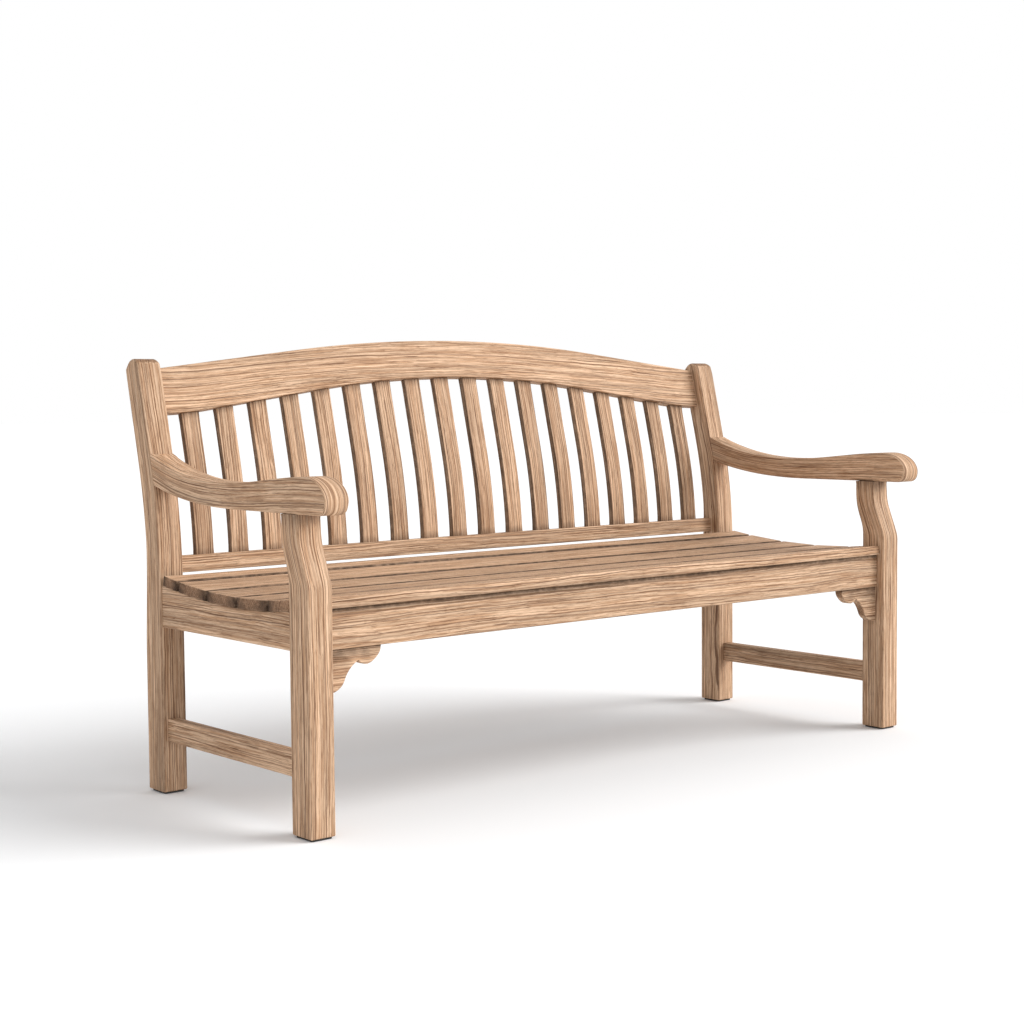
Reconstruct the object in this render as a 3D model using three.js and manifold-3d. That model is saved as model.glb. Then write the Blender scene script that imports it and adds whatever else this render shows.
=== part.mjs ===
// Three-seat garden bench in oak: raked slatted back under an arched crest rail,
// swept arms with rolled ends, dished slatted seat, mortise and tenon joints.
// Millimetres, +Z up, +X along the bench, the sitter faces -Y, Z = 0 is the floor.
import * as THREE from 'three'
import { mergeVertices } from 'three/addons/utils/BufferGeometryUtils.js'
import Module from 'manifold-3d'

const wasm = await Module()
wasm.setup()

// ---------------------------------------------------------------- driving dimensions
const bench_length = 1800 // over the outer faces of the legs
const foot_depth = 640 // front face of the front legs to rear face of the posts, at the floor
const seat_height = 455 // lowest line of the seat's top surface
const timber_width = 57 // legs, posts and arms, across the bench
const leg_depth = 68 // front legs and the posts' feet, front to back
const fit_gap = 0.3 // clearance between neighbouring pieces

// feet
const glide_thickness = 4
const glide_inset = 5
const glide_corner = 4

// back: the posts stand upright to the bend, follow an arc, then lean straight back
const bend_below_seat = 5
const bend_radius = 1250
const back_rake = THREE.MathUtils.degToRad(13.4)
const post_upper_depth = 56
const post_taper_drop = 150 // below the bend, where the rear face begins to draw in
const post_taper_end = 110 // along the back curve, where it has drawn in
const post_top = 496 // end of the front edge, along the back curve from the bend
const post_crown = 15 // rise of the rounded top

// rails of the back, measured along the back curve from the bend
const crest_thickness = 30
const crest_recess = 26 // behind the posts' front faces
const crest_bottom = 389
const crest_bottom_rise = 83
const crest_top = 490
const crest_top_rise = 75
// shares of the half length where each edge stops being round, and where it flares to level
const crest_bottom_round = 0.5
const crest_bottom_flare = 0.85
const crest_top_round = 0.56
const crest_top_flare = 1
const lower_rail_thickness = 27
const lower_rail_recess = 30
const lower_rail_height = 37
const lower_rail_above_seat = 24

// back slats
const back_slat_count = 18
const back_slat_width = 45
const back_slat_thickness = 15
const back_slat_recess = 34
const back_slat_end_gap = 54
const back_slat_tenon = { width: 35, thickness: 9, length: 14 }

// seat
const seat_radius = 2000 // dish of the seat, front to back
const seat_low_offset = -60 // lowest line of the dish, from the middle of foot_depth
const seat_slat_thickness = 22
const seat_slat_gap = 10
const rear_slat_width = 56
const front_slat_width = 134
const seat_to_post = 6
const front_slat_recess = 12 // behind the legs' front faces
const seat_overhang = 1.5 // slat ends past the side rails

// rails under the seat
const rail_drop = 89 // underside of the rails below the lowest line of the seat
const side_rail_thickness = 28
const side_rail_recess = 4
const apron_thickness = 25
const apron_recess = 22
const rear_rail_thickness = 25
const rear_rail_setback = 24 // behind the posts' front faces
const rear_rail_height = 88
const bearer_thickness = 28
const bearer_spacing = 600
const bearer_lift = 10 // underside above that of the side rails

// low side stretchers
const stretcher_height = 50
const stretcher_thickness = 26
const stretcher_bottom = 115
const stretcher_recess = 12

// arms
const arm_low_above_seat = 232 // lowest line of the arm's top
const arm_front_rise = 20
const arm_rear_rise = 53
const arm_under_above_seat = 179
const arm_under_rise = 38
const arm_nose = 62 // nose ahead of the front legs' feet
const nose_length = 74
const nose_heel = 26

// upper part of the front legs, set back above the seat
const leg_setback = 36
const leg_neck_depth = 55
const leg_kink_low = 42 // above seat_height
const leg_kink_high = 120
const leg_tenon = { width: 30, depth: 32, height: 26 }

// corner brackets under the apron
const bracket_length = 132
const bracket_drop = 88
const bracket_thickness = 22
const bracket_setback = 4 // behind the apron's face

// tenons, pegs and screws
const stub_tenon = 22 // side rails and stretchers
const long_tenon = 26 // aprons, rear rail, crest rail and lower back rail
const tenon_thickness = 12
const tenon_shoulder = 10
const peg_radius = 5
const peg_sink = 1
const screw_radius = 3
const screw_head_radius = 6
const screw_head_height = 4
const screw_reach = 34 // into the arm

// ---------------------------------------------------------------- derived places
const half_length = bench_length / 2
const half_inner = half_length - timber_width
const leg_front = -foot_depth / 2
const leg_rear = leg_front + leg_depth
const post_rear = foot_depth / 2
const post_front = post_rear - leg_depth
const leg_foot = glide_thickness + fit_gap
const bend_height = seat_height - bend_below_seat
const post_taper_start = bend_height - post_taper_drop
const bend_arc = bend_radius * back_rake
const rail_bottom = seat_height - rail_drop
const apron_front = leg_front + apron_recess
const apron_rear = apron_front + apron_thickness
const rear_rail_front = post_front + rear_rail_setback
const arm_low_height = seat_height + arm_low_above_seat
const arm_under_height = seat_height + arm_under_above_seat
const lower_rail_middle = seat_height + lower_rail_above_seat + lower_rail_height / 2 - bend_height
const arm_join = arm_low_height + arm_rear_rise - 32 - bend_height
const side_rail_x = half_length - side_rail_recess - side_rail_thickness / 2
const stretcher_x = half_length - stretcher_recess - stretcher_thickness / 2
const sides = { left: -1, right: 1 }

const bench = new THREE.Group()

// ---------------------------------------------------------------- solids and pieces
function solidOf(geometry) {
  const bare = geometry.clone()
  bare.deleteAttribute('normal')
  bare.deleteAttribute('uv')
  const welded = mergeVertices(bare, 1e-4)
  const vertProperties = new Float32Array(welded.attributes.position.array)
  const triVerts = new Uint32Array(welded.index.array)
  return new wasm.Manifold(new wasm.Mesh({ numProp: 3, vertProperties, triVerts }))
}

function geometryOf(solid) {
  const mesh = solid.getMesh()
  const geometry = new THREE.BufferGeometry()
  geometry.setAttribute('position', new THREE.BufferAttribute(mesh.vertProperties, 3))
  geometry.setIndex(new THREE.BufferAttribute(mesh.triVerts, 1))
  geometry.computeVertexNormals()
  return geometry
}

const finishes = {
  oak: { color: 0xc79a6b, roughness: 0.72, metalness: 0 },
  steel: { color: 0x9a9a96, roughness: 0.4, metalness: 1 },
  rubber: { color: 0x141414, roughness: 0.8, metalness: 0 },
}

function addPiece(name, shape, finish = 'oak') {
  const geometry = shape.isBufferGeometry ? shape : geometryOf(shape)
  const mesh = new THREE.Mesh(geometry, new THREE.MeshStandardMaterial(finishes[finish]))
  mesh.name = name
  bench.add(mesh)
  return mesh
}

const cutAll = (solid, tools) => tools.reduce((left, tool) => left.subtract(tool), solid)
const joinAll = (solid, parts) => parts.reduce((left, part) => left.add(part), solid)

function boxAt(center, size, frame = new THREE.Matrix4()) {
  const geometry = new THREE.BoxGeometry(...size)
  geometry.translate(...center)
  geometry.applyMatrix4(frame)
  return solidOf(geometry)
}

// a tongue on one piece and the slightly larger socket that its neighbour gets
function joint(center, size, frame) {
  const grown = size.map((edge) => edge + 2 * fit_gap)
  return { tongue: boxAt(center, size, frame), socket: boxAt(center, grown, frame) }
}

// outline in (y, z), extruded along x and centred on x = at
function sideways(shape, width, at, segments = 8) {
  const geometry = new THREE.ExtrudeGeometry(shape, {
    depth: width,
    bevelEnabled: false,
    curveSegments: segments,
  })
  const turn = new THREE.Matrix4().makeBasis(
    new THREE.Vector3(0, 1, 0),
    new THREE.Vector3(0, 0, 1),
    new THREE.Vector3(1, 0, 0),
  )
  geometry.applyMatrix4(turn)
  geometry.translate(at - width / 2, 0, 0)
  return geometry
}

// ---------------------------------------------------------------- the curve of the back
// s runs up along the posts' front faces from the bend, d runs behind that face
function backPoint(s, d) {
  const angle = Math.min(Math.max(s / bend_radius, 0), back_rake)
  const past = s < 0 ? s : Math.max(s - bend_arc, 0)
  const radius = bend_radius - d
  const y = post_front + bend_radius - radius * Math.cos(angle) + past * Math.sin(angle)
  const z = bend_height + radius * Math.sin(angle) + past * Math.cos(angle)
  return new THREE.Vector2(y, z)
}

// frame on the posts' front face at s: x along the bench, y up the back, z towards the sitter
function backFrame(s) {
  const origin = backPoint(s, 0)
  const angle = Math.min(Math.max(s / bend_radius, 0), back_rake)
  const frame = new THREE.Matrix4().makeBasis(
    new THREE.Vector3(1, 0, 0),
    new THREE.Vector3(0, Math.sin(angle), Math.cos(angle)),
    new THREE.Vector3(0, -Math.cos(angle), Math.sin(angle)),
  )
  return frame.setPosition(0, origin.x, origin.y)
}

const crest_frame = backFrame(bend_arc)
const lower_rail_frame = backFrame(lower_rail_middle)
const arm_frame = backFrame(arm_join)

function curveUpBack(d, from, to, steps = 10) {
  const points = []
  for (let i = 0; i <= steps; i += 1) {
    points.push(backPoint(from + ((to - from) * i) / steps, d))
  }
  return points
}

// ---------------------------------------------------------------- crest rail and lower back rail
// share of an edge's rise that is lost at t, the distance from the middle over the half length
function archDrop(t, round, flare) {
  const slope = 2 / (1 + flare - round)
  if (t < round) {
    return (slope * t * t) / (2 * round)
  }
  if (t <= flare) {
    return slope * (t - round / 2)
  }
  return 1 - (slope * (1 - t) ** 2) / (2 * (1 - flare))
}

// edges of the crest rail in crest_frame
function crestEdge(x, end, rise, round, flare) {
  const t = Math.min(Math.abs(x) / half_inner, 1)
  return end - bend_arc + rise * (1 - archDrop(t, round, flare))
}
const crestBottomAt = (x) => {
  return crestEdge(x, crest_bottom, crest_bottom_rise, crest_bottom_round, crest_bottom_flare)
}
const crestTopAt = (x) => crestEdge(x, crest_top, crest_top_rise, crest_top_round, crest_top_flare)

function crestBoard(edgeLow, edgeHigh, near, far, half) {
  const steps = 28
  const along = Array.from({ length: steps + 1 }, (_, i) => -half + (2 * half * i) / steps)
  const low = along.map((x) => new THREE.Vector2(x, edgeLow(x)))
  const high = along.map((x) => new THREE.Vector2(x, edgeHigh(x))).reverse()
  const shape = new THREE.Shape([...low, ...high])
  const geometry = new THREE.ExtrudeGeometry(shape, { depth: far - near, bevelEnabled: false })
  geometry.translate(0, 0, -far)
  geometry.applyMatrix4(crest_frame)
  return solidOf(geometry)
}

const slat_pitch =
  (2 * half_inner - 2 * back_slat_end_gap - back_slat_width) / (back_slat_count - 1)
const slatX = (i) => (i - (back_slat_count - 1) / 2) * slat_pitch
const slat_middle = back_slat_recess + back_slat_thickness / 2

function slatJoints(x) {
  const { width, thickness, length } = back_slat_tenon
  const root = 8
  const top = joint(
    [x, crestBottomAt(x) + (length - root) / 2, -slat_middle],
    [width, length + root, thickness],
    crest_frame,
  )
  const bottom = joint(
    [x, lower_rail_height / 2 - (length - root) / 2, -slat_middle],
    [width, length + root, thickness],
    lower_rail_frame,
  )
  return { top, bottom }
}

const slat_joints = Array.from({ length: back_slat_count }, (_, i) => slatJoints(slatX(i)))

// tenon on a rail's end, driven into the inner face of a post or leg
function endJoint(side, size, center, frame) {
  const root = 6
  const reach = long_tenon + root
  const x = side * (half_inner + (long_tenon - root) / 2)
  return joint([x, ...center], [reach, ...size], frame)
}

const peg_x = half_inner + long_tenon * 0.55

// peg in a hole that runs out past the rear face of the post or leg
function backPeg(side, frame, y, near, far) {
  const x = side * peg_x
  const peg = new THREE.CylinderGeometry(peg_radius, peg_radius, far - near, 16)
  peg.rotateX(Math.PI / 2)
  peg.translate(x, y, -(near + far) / 2)
  peg.applyMatrix4(frame)
  const reach = far + leg_depth / 2
  const hole = new THREE.CylinderGeometry(peg_radius + fit_gap, peg_radius + fit_gap, reach - near, 16)
  hole.rotateX(Math.PI / 2)
  hole.translate(x, y, fit_gap - (near + reach) / 2)
  hole.applyMatrix4(frame)
  return { peg, hole: solidOf(hole) }
}

const crest_end_height = (crest_bottom + crest_top) / 2 - bend_arc
const crest_middle = crest_recess + crest_thickness / 2
const lower_rail_depth = lower_rail_recess + lower_rail_thickness / 2

function backJoints(side) {
  const crest = endJoint(side, [62, 14], [crest_end_height, -crest_middle], crest_frame)
  const lower = endJoint(side, [25, tenon_thickness], [0, -lower_rail_depth], lower_rail_frame)
  const crest_peg = backPeg(
    side,
    crest_frame,
    crest_end_height,
    crest_middle - 11,
    post_upper_depth - peg_sink,
  )
  const lower_peg = backPeg(
    side,
    lower_rail_frame,
    0,
    lower_rail_depth - 10,
    post_upper_depth - peg_sink,
  )
  return { crest, lower, crest_peg, lower_peg }
}

const back_joints = { left: backJoints(sides.left), right: backJoints(sides.right) }

function makeCrestRail() {
  const near = crest_recess
  const far = crest_recess + crest_thickness
  const board = crestBoard(crestBottomAt, crestTopAt, near, far, half_inner - fit_gap)
  const tongues = Object.values(back_joints).map((side) => side.crest.tongue)
  const sockets = slat_joints.map((slat) => slat.top.socket)
  const holes = Object.values(back_joints).map((side) => side.crest_peg.hole)
  addPiece('crest_rail', cutAll(joinAll(board, tongues), [...sockets, ...holes]))
}

function makeLowerBackRail() {
  const size = [2 * (half_inner - fit_gap), lower_rail_height, lower_rail_thickness]
  const board = boxAt([0, 0, -lower_rail_depth], size, lower_rail_frame)
  const tongues = Object.values(back_joints).map((side) => side.lower.tongue)
  const sockets = slat_joints.map((slat) => slat.bottom.socket)
  const holes = Object.values(back_joints).map((side) => side.lower_peg.hole)
  addPiece('lower_back_rail', cutAll(joinAll(board, tongues), [...sockets, ...holes]))
}

// ---------------------------------------------------------------- back slats
function makeBackSlats() {
  const clear = 400
  const above_crest = crestBoard(
    (x) => crestBottomAt(x) - fit_gap,
    () => crest_bottom + clear,
    -clear,
    clear,
    half_inner,
  )
  const below_rail = boxAt(
    [0, lower_rail_height / 2 + fit_gap - clear / 2, 0],
    [bench_length, clear, 2 * clear],
    lower_rail_frame,
  )
  const from = lower_rail_middle
  const to = crest_bottom + crest_bottom_rise + 20
  const front = curveUpBack(back_slat_recess, from, to)
  const rear = curveUpBack(back_slat_recess + back_slat_thickness, from, to).reverse()
  const outline = new THREE.Shape([...front, ...rear])
  for (let i = 0; i < back_slat_count; i += 1) {
    const strip = solidOf(sideways(outline, back_slat_width, slatX(i)))
    const { top, bottom } = slat_joints[i]
    const body = cutAll(strip, [above_crest, below_rail])
    const number = String(i + 1).padStart(2, '0')
    addPiece(`back_slat_${number}`, joinAll(body, [top.tongue, bottom.tongue]))
  }
}

// ---------------------------------------------------------------- seat surface
const seat_low = seat_low_offset
const seatTopAt = (y) => {
  const away = y - seat_low
  return seat_height + seat_radius - Math.sqrt(seat_radius ** 2 - away ** 2)
}
const seatUnderAt = (y) => seatTopAt(y) - seat_slat_thickness

function seatStrips() {
  const rear = post_front - seat_to_post
  const front = leg_front + front_slat_recess
  const middle = (rear - front - rear_slat_width - front_slat_width - 4 * seat_slat_gap) / 3
  const widths = [rear_slat_width, middle, middle, middle, front_slat_width]
  let edge = rear
  return widths.map((width) => {
    const strip = { rear: edge, front: edge - width }
    edge = strip.front - seat_slat_gap
    return strip
  })
}

const seat_strips = seatStrips()

// flats that the slats rest on, from the rear edge of the seat to its front edge
function seatBedPoints(rear, front) {
  const edges = seat_strips.flatMap((strip) => [strip.rear, strip.front])
  const inside = edges.filter((y) => y < rear - 1 && y > front + 1)
  return [rear, ...inside, front].map((y) => new THREE.Vector2(y, bedHeightAt(y)))
}

// the flats are straight between the edges of the slats
function bedHeightAt(y) {
  const strip = seat_strips.find((one) => y <= one.rear && y >= one.front)
  if (!strip) {
    return seatUnderAt(y)
  }
  const share = (strip.rear - y) / (strip.rear - strip.front)
  return THREE.MathUtils.lerp(seatUnderAt(strip.rear), seatUnderAt(strip.front), share)
}

function slatOutline({ rear, front }) {
  const a = new THREE.Vector2(rear, seatUnderAt(rear) + fit_gap)
  const b = new THREE.Vector2(front, seatUnderAt(front) + fit_gap)
  const along = b.clone().sub(a).normalize()
  const up = new THREE.Vector2(along.y, -along.x).multiplyScalar(seat_slat_thickness)
  if (up.y < 0) {
    up.negate()
  }
  return new THREE.Shape([a, b, b.clone().add(up), a.clone().add(up)])
}

function makeSeatSlats() {
  const length = 2 * (half_length - side_rail_recess + seat_overhang)
  seat_strips.slice(0, -1).forEach((strip, i) => {
    addPiece(`seat_slat_${i + 1}`, sideways(slatOutline(strip), length, 0))
  })
  // the front slat is notched round the front legs
  const front_slat = solidOf(sideways(slatOutline(seat_strips.at(-1)), length, 0))
  const notches = Object.values(sides).map((side) => {
    const size = [timber_width + 2 * fit_gap, leg_depth + 2 * fit_gap, 200]
    return boxAt([side * (half_length - timber_width / 2), leg_front + leg_depth / 2, seat_height], size)
  })
  addPiece('front_seat_slat', cutAll(front_slat, notches))
}

// ---------------------------------------------------------------- rails under the seat
const tenon_low = rail_bottom + tenon_shoulder
const side_tenon_height = seat_height - seat_slat_thickness - tenon_shoulder / 2 - tenon_low
const side_tenon_z = tenon_low + side_tenon_height / 2
const side_peg_z = tenon_low + side_tenon_height * 0.3
const cross_peg_z = tenon_low + side_tenon_height * 0.78

// tenon along y into the front leg (towards = -1) or the post (towards = 1)
function stubJoint(x, z, height, towards) {
  const face = towards < 0 ? leg_rear : post_front
  const root = 6
  const y = face + (towards * (stub_tenon - root)) / 2
  return joint([x, y, z], [tenon_thickness, stub_tenon + root, height])
}

// peg along x from the inner face of a leg or post into a side rail's tenon
function innerPeg(side, y, z) {
  const from = half_inner + peg_sink
  const to = side_rail_x + 4
  const peg = new THREE.CylinderGeometry(peg_radius, peg_radius, to - from, 16)
  peg.rotateZ(Math.PI / 2)
  peg.translate((side * (from + to)) / 2, y, z)
  const open = half_inner - peg_radius
  const end = to + fit_gap
  const hole = new THREE.CylinderGeometry(peg_radius + fit_gap, peg_radius + fit_gap, end - open, 16)
  hole.rotateZ(Math.PI / 2)
  hole.translate((side * (open + end)) / 2, y, z)
  return { peg, hole: solidOf(hole) }
}

// peg along y from the rear face of a leg or post into the tenon of a cross rail
function crossPeg(side, from, to, open) {
  const peg = new THREE.CylinderGeometry(peg_radius, peg_radius, to - from, 16)
  peg.translate(side * peg_x, (from + to) / 2, cross_peg_z)
  const radius = peg_radius + fit_gap
  const hole = new THREE.CylinderGeometry(radius, radius, open - from + fit_gap, 16)
  hole.translate(side * peg_x, (from - fit_gap + open) / 2, cross_peg_z)
  return { peg, hole: solidOf(hole) }
}

const apron_middle = apron_front + apron_thickness / 2
const rear_rail_middle = rear_rail_front + rear_rail_thickness / 2
const rear_rail_tenon_height = rear_rail_height - 2 * tenon_shoulder
const rear_rail_z = rail_bottom + rear_rail_height / 2

function seatJoints(side) {
  const rail_x = side * side_rail_x
  const low_x = side * stretcher_x
  const low_z = stretcher_bottom + stretcher_height / 2
  const low_height = stretcher_height - 2 * 8
  const apron_size = [tenon_thickness - 2, side_tenon_height]
  const rear_size = [tenon_thickness, rear_rail_tenon_height]
  return {
    rail_front: stubJoint(rail_x, side_tenon_z, side_tenon_height, -1),
    rail_rear: stubJoint(rail_x, side_tenon_z, side_tenon_height, 1),
    low_front: stubJoint(low_x, low_z, low_height, -1),
    low_rear: stubJoint(low_x, low_z, low_height, 1),
    apron: endJoint(side, apron_size, [apron_middle, side_tenon_z]),
    rear_rail: endJoint(side, rear_size, [rear_rail_middle, rear_rail_z]),
    rail_front_peg: innerPeg(side, leg_rear - stub_tenon / 2, side_peg_z),
    rail_rear_peg: innerPeg(side, post_front + stub_tenon / 2, side_peg_z),
    apron_peg: crossPeg(side, apron_middle - 3, leg_rear - peg_sink, leg_rear + peg_radius),
    rear_rail_peg: crossPeg(side, rear_rail_middle - 4, post_rear - 8, post_rear + peg_radius),
  }
}

const seat_joints = { left: seatJoints(sides.left), right: seatJoints(sides.right) }

function dishedRailOutline(rear, front, bottom) {
  return new THREE.Shape([
    new THREE.Vector2(front, bottom),
    new THREE.Vector2(rear, bottom),
    ...seatBedPoints(rear, front),
  ])
}

function makeSideRail(name, side) {
  const rear = post_front - fit_gap
  const front = leg_rear + fit_gap
  const outline = dishedRailOutline(rear, front, rail_bottom)
  const rail = solidOf(sideways(outline, side_rail_thickness, side * side_rail_x))
  const { rail_front, rail_rear, rail_front_peg, rail_rear_peg } = seat_joints[name]
  const whole = joinAll(rail, [rail_front.tongue, rail_rear.tongue])
  addPiece(`${name}_side_rail`, cutAll(whole, [rail_front_peg.hole, rail_rear_peg.hole]))
}

function makeStretcher(name, side) {
  const span = post_front - leg_rear - 2 * fit_gap
  const middle = (post_front + leg_rear) / 2
  const size = [stretcher_thickness, span, stretcher_height]
  const center = [side * stretcher_x, middle, stretcher_bottom + stretcher_height / 2]
  const { low_front, low_rear } = seat_joints[name]
  const whole = joinAll(boxAt(center, size), [low_front.tongue, low_rear.tongue])
  addPiece(`${name}_stretcher`, whole)
}

// tenons of the two seat bearers, into the apron and into the rear rail
function bearerJoints(x) {
  const length = 12
  const root = 6
  const size = [tenon_thickness, length + root, 40]
  const z = rail_bottom + bearer_lift + 36
  return {
    front: joint([x, apron_rear - (length - root) / 2, z], size),
    rear: joint([x, rear_rail_front + (length - root) / 2, z], size),
  }
}

const bearer_joints = {
  left: bearerJoints((sides.left * bearer_spacing) / 2),
  right: bearerJoints((sides.right * bearer_spacing) / 2),
}

function makeApron() {
  const outline = dishedRailOutline(apron_rear, apron_front, rail_bottom)
  const board = solidOf(sideways(outline, 2 * (half_inner - fit_gap), 0))
  const ends = Object.values(seat_joints)
  const sockets = Object.values(bearer_joints).map((one) => one.front.socket)
  const whole = joinAll(board, ends.map((one) => one.apron.tongue))
  addPiece('front_apron', cutAll(whole, [...sockets, ...ends.map((one) => one.apron_peg.hole)]))
}

function makeRearSeatRail() {
  const size = [2 * (half_inner - fit_gap), rear_rail_thickness, rear_rail_height]
  const board = boxAt([0, rear_rail_middle, rear_rail_z], size)
  const ends = Object.values(seat_joints)
  const sockets = Object.values(bearer_joints).map((one) => one.rear.socket)
  const whole = joinAll(board, ends.map((one) => one.rear_rail.tongue))
  const holes = ends.map((one) => one.rear_rail_peg.hole)
  addPiece('rear_seat_rail', cutAll(whole, [...sockets, ...holes]))
}

function makeBearer(name, side) {
  const rear = rear_rail_front - fit_gap
  const front = apron_rear + fit_gap
  const outline = dishedRailOutline(rear, front, rail_bottom + bearer_lift)
  const board = solidOf(sideways(outline, bearer_thickness, (side * bearer_spacing) / 2))
  const { front: near, rear: far } = bearer_joints[name]
  addPiece(`${name}_seat_bearer`, joinAll(board, [near.tongue, far.tongue]))
}

// ---------------------------------------------------------------- arms
const arm_middle_x = half_length - timber_width / 2
const leg_top = arm_under_height - fit_gap
const neck_front = leg_front + leg_setback
const neck_rear = neck_front + leg_neck_depth
const nose_front = leg_front - arm_nose

function armJoints(side) {
  const x = side * arm_middle_x
  const { width, depth, height } = leg_tenon
  const root = 6
  const post = joint([x, 0, (root - stub_tenon) / 2], [20, 30, stub_tenon + root], arm_frame)
  const center = [x, (neck_front + neck_rear) / 2, leg_top + (height - root) / 2]
  const leg = joint(center, [width, depth, height + root])
  return { post, leg }
}

const arm_joints = { left: armJoints(sides.left), right: armJoints(sides.right) }

// countersunk screw through the post into the arm, from the rear
function armScrew(side, grow) {
  const head = post_upper_depth - peg_sink
  const neck = head - screw_head_height
  const tip = -screw_reach - grow
  const wide = screw_head_radius + grow
  const thin = screw_radius + grow
  const mouth = grow > 0 ? head + leg_depth : head
  const profile = [
    new THREE.Vector2(0, tip),
    new THREE.Vector2(thin, tip),
    new THREE.Vector2(thin, neck - grow),
    new THREE.Vector2(wide, head - grow),
    new THREE.Vector2(wide, mouth),
    new THREE.Vector2(0, mouth),
  ]
  const shape = grow > 0 ? profile : profile.filter((_, i) => i !== 4)
  const geometry = new THREE.LatheGeometry(shape, 16)
  geometry.rotateX(-Math.PI / 2)
  geometry.translate(side * arm_middle_x, 0, 0)
  geometry.applyMatrix4(arm_frame)
  return geometry
}

function armOutline() {
  const rear_top = arm_low_height + arm_rear_rise
  const rear_under = arm_under_height + arm_under_rise
  const postFaceAt = (z) => {
    const s = bend_radius * Math.asin((z - bend_height) / bend_radius)
    return backPoint(s, 0).x - fit_gap
  }
  const face_steps = 4
  const shape = new THREE.Shape()
  const reach = postFaceAt(rear_top) - neck_rear
  const at = (share) => neck_rear + reach * share
  // underside: level from the nose to past the leg, then sweeping up to the post
  shape.moveTo(nose_front + nose_heel, arm_under_height)
  shape.lineTo(at(0.35), arm_under_height)
  shape.bezierCurveTo(
    at(0.6),
    arm_under_height,
    at(0.8),
    arm_under_height + arm_under_rise * 0.36,
    postFaceAt(rear_under),
    rear_under,
  )
  for (let i = 1; i <= face_steps; i += 1) {
    const z = THREE.MathUtils.lerp(rear_under, rear_top, i / face_steps)
    shape.lineTo(postFaceAt(z), z)
  }
  // top: down from the post to the low line, then up again to the nose
  shape.bezierCurveTo(
    at(0.85),
    arm_low_height + arm_rear_rise * 0.42,
    at(0.66),
    arm_low_height,
    at(0.44),
    arm_low_height,
  )
  const crown = arm_low_height + arm_front_rise
  shape.bezierCurveTo(at(0.22), arm_low_height, at(0.02), crown - 1, nose_front + nose_length, crown)
  // nose: long fall in front, short heel below
  const front_low = arm_under_height + nose_heel
  shape.bezierCurveTo(
    nose_front + nose_length * 0.42,
    crown,
    nose_front,
    THREE.MathUtils.lerp(front_low, crown, 0.52),
    nose_front,
    front_low,
  )
  shape.quadraticCurveTo(nose_front, arm_under_height, nose_front + nose_heel, arm_under_height)
  return shape
}

function makeArm(name, side) {
  const body = solidOf(sideways(armOutline(), timber_width, side * arm_middle_x, 7))
  const { post, leg } = arm_joints[name]
  const screw_hole = solidOf(armScrew(side, fit_gap))
  addPiece(`${name}_arm`, cutAll(body.add(post.tongue), [leg.socket, screw_hole]))
  addPiece(`${name}_arm_screw`, armScrew(side, 0), 'steel')
}

// ---------------------------------------------------------------- posts and front legs
function postOutline() {
  const front = curveUpBack(0, 0, bend_arc, 8)
  const top_front = backPoint(post_top, 0)
  const top_rear = backPoint(post_top, post_upper_depth)
  const crown = backPoint(post_top + 2 * post_crown, post_upper_depth / 2)
  const shape = new THREE.Shape()
  shape.moveTo(post_rear, leg_foot)
  shape.lineTo(post_front, leg_foot)
  front.forEach((point) => shape.lineTo(point.x, point.y))
  shape.lineTo(top_front.x, top_front.y)
  shape.quadraticCurveTo(crown.x, crown.y, top_rear.x, top_rear.y)
  curveUpBack(post_upper_depth, post_taper_end, bend_arc, 6)
    .reverse()
    .forEach((point) => shape.lineTo(point.x, point.y))
  const low = backPoint(post_taper_end * 0.27, post_upper_depth)
  const ease = (post_taper_start + bend_height) / 2
  shape.bezierCurveTo(low.x, low.y, post_rear, ease, post_rear, post_taper_start)
  shape.lineTo(post_rear, leg_foot)
  return shape
}

function makePost(name, side) {
  const body = solidOf(sideways(postOutline(), timber_width, side * arm_middle_x, 6))
  const back = back_joints[name]
  const seat = seat_joints[name]
  addPiece(
    `${name}_back_post`,
    cutAll(body, [
      back.crest.socket,
      back.lower.socket,
      back.crest_peg.hole,
      back.lower_peg.hole,
      seat.rail_rear.socket,
      seat.low_rear.socket,
      seat.rear_rail.socket,
      seat.rail_rear_peg.hole,
      seat.rear_rail_peg.hole,
      arm_joints[name].post.socket,
      solidOf(armScrew(side, fit_gap)),
    ]),
  )
}

function legOutline() {
  const low = seat_height + leg_kink_low
  const high = seat_height + leg_kink_high
  const lean = 7
  const shape = new THREE.Shape()
  shape.moveTo(leg_front, leg_foot)
  shape.lineTo(leg_rear, leg_foot)
  shape.lineTo(leg_rear, low)
  shape.bezierCurveTo(leg_rear, low + 42, neck_rear, high - 28, neck_rear, leg_top - 24)
  shape.lineTo(neck_rear, leg_top)
  shape.lineTo(neck_front, leg_top)
  shape.lineTo(neck_front - 2, high + 22)
  shape.quadraticCurveTo(neck_front - 4, high + 2, neck_front - lean - 3, high - 12)
  shape.lineTo(leg_front + 5, low + 12)
  shape.quadraticCurveTo(leg_front, low, leg_front, low - 14)
  return shape
}

function makeLeg(name, side) {
  const body = solidOf(sideways(legOutline(), timber_width, side * arm_middle_x, 5))
  const seat = seat_joints[name]
  addPiece(
    `${name}_front_leg`,
    cutAll(body.add(arm_joints[name].leg.tongue), [
      seat.rail_front.socket,
      seat.low_front.socket,
      seat.apron.socket,
      seat.rail_front_peg.hole,
      seat.apron_peg.hole,
    ]),
  )
}

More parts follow.
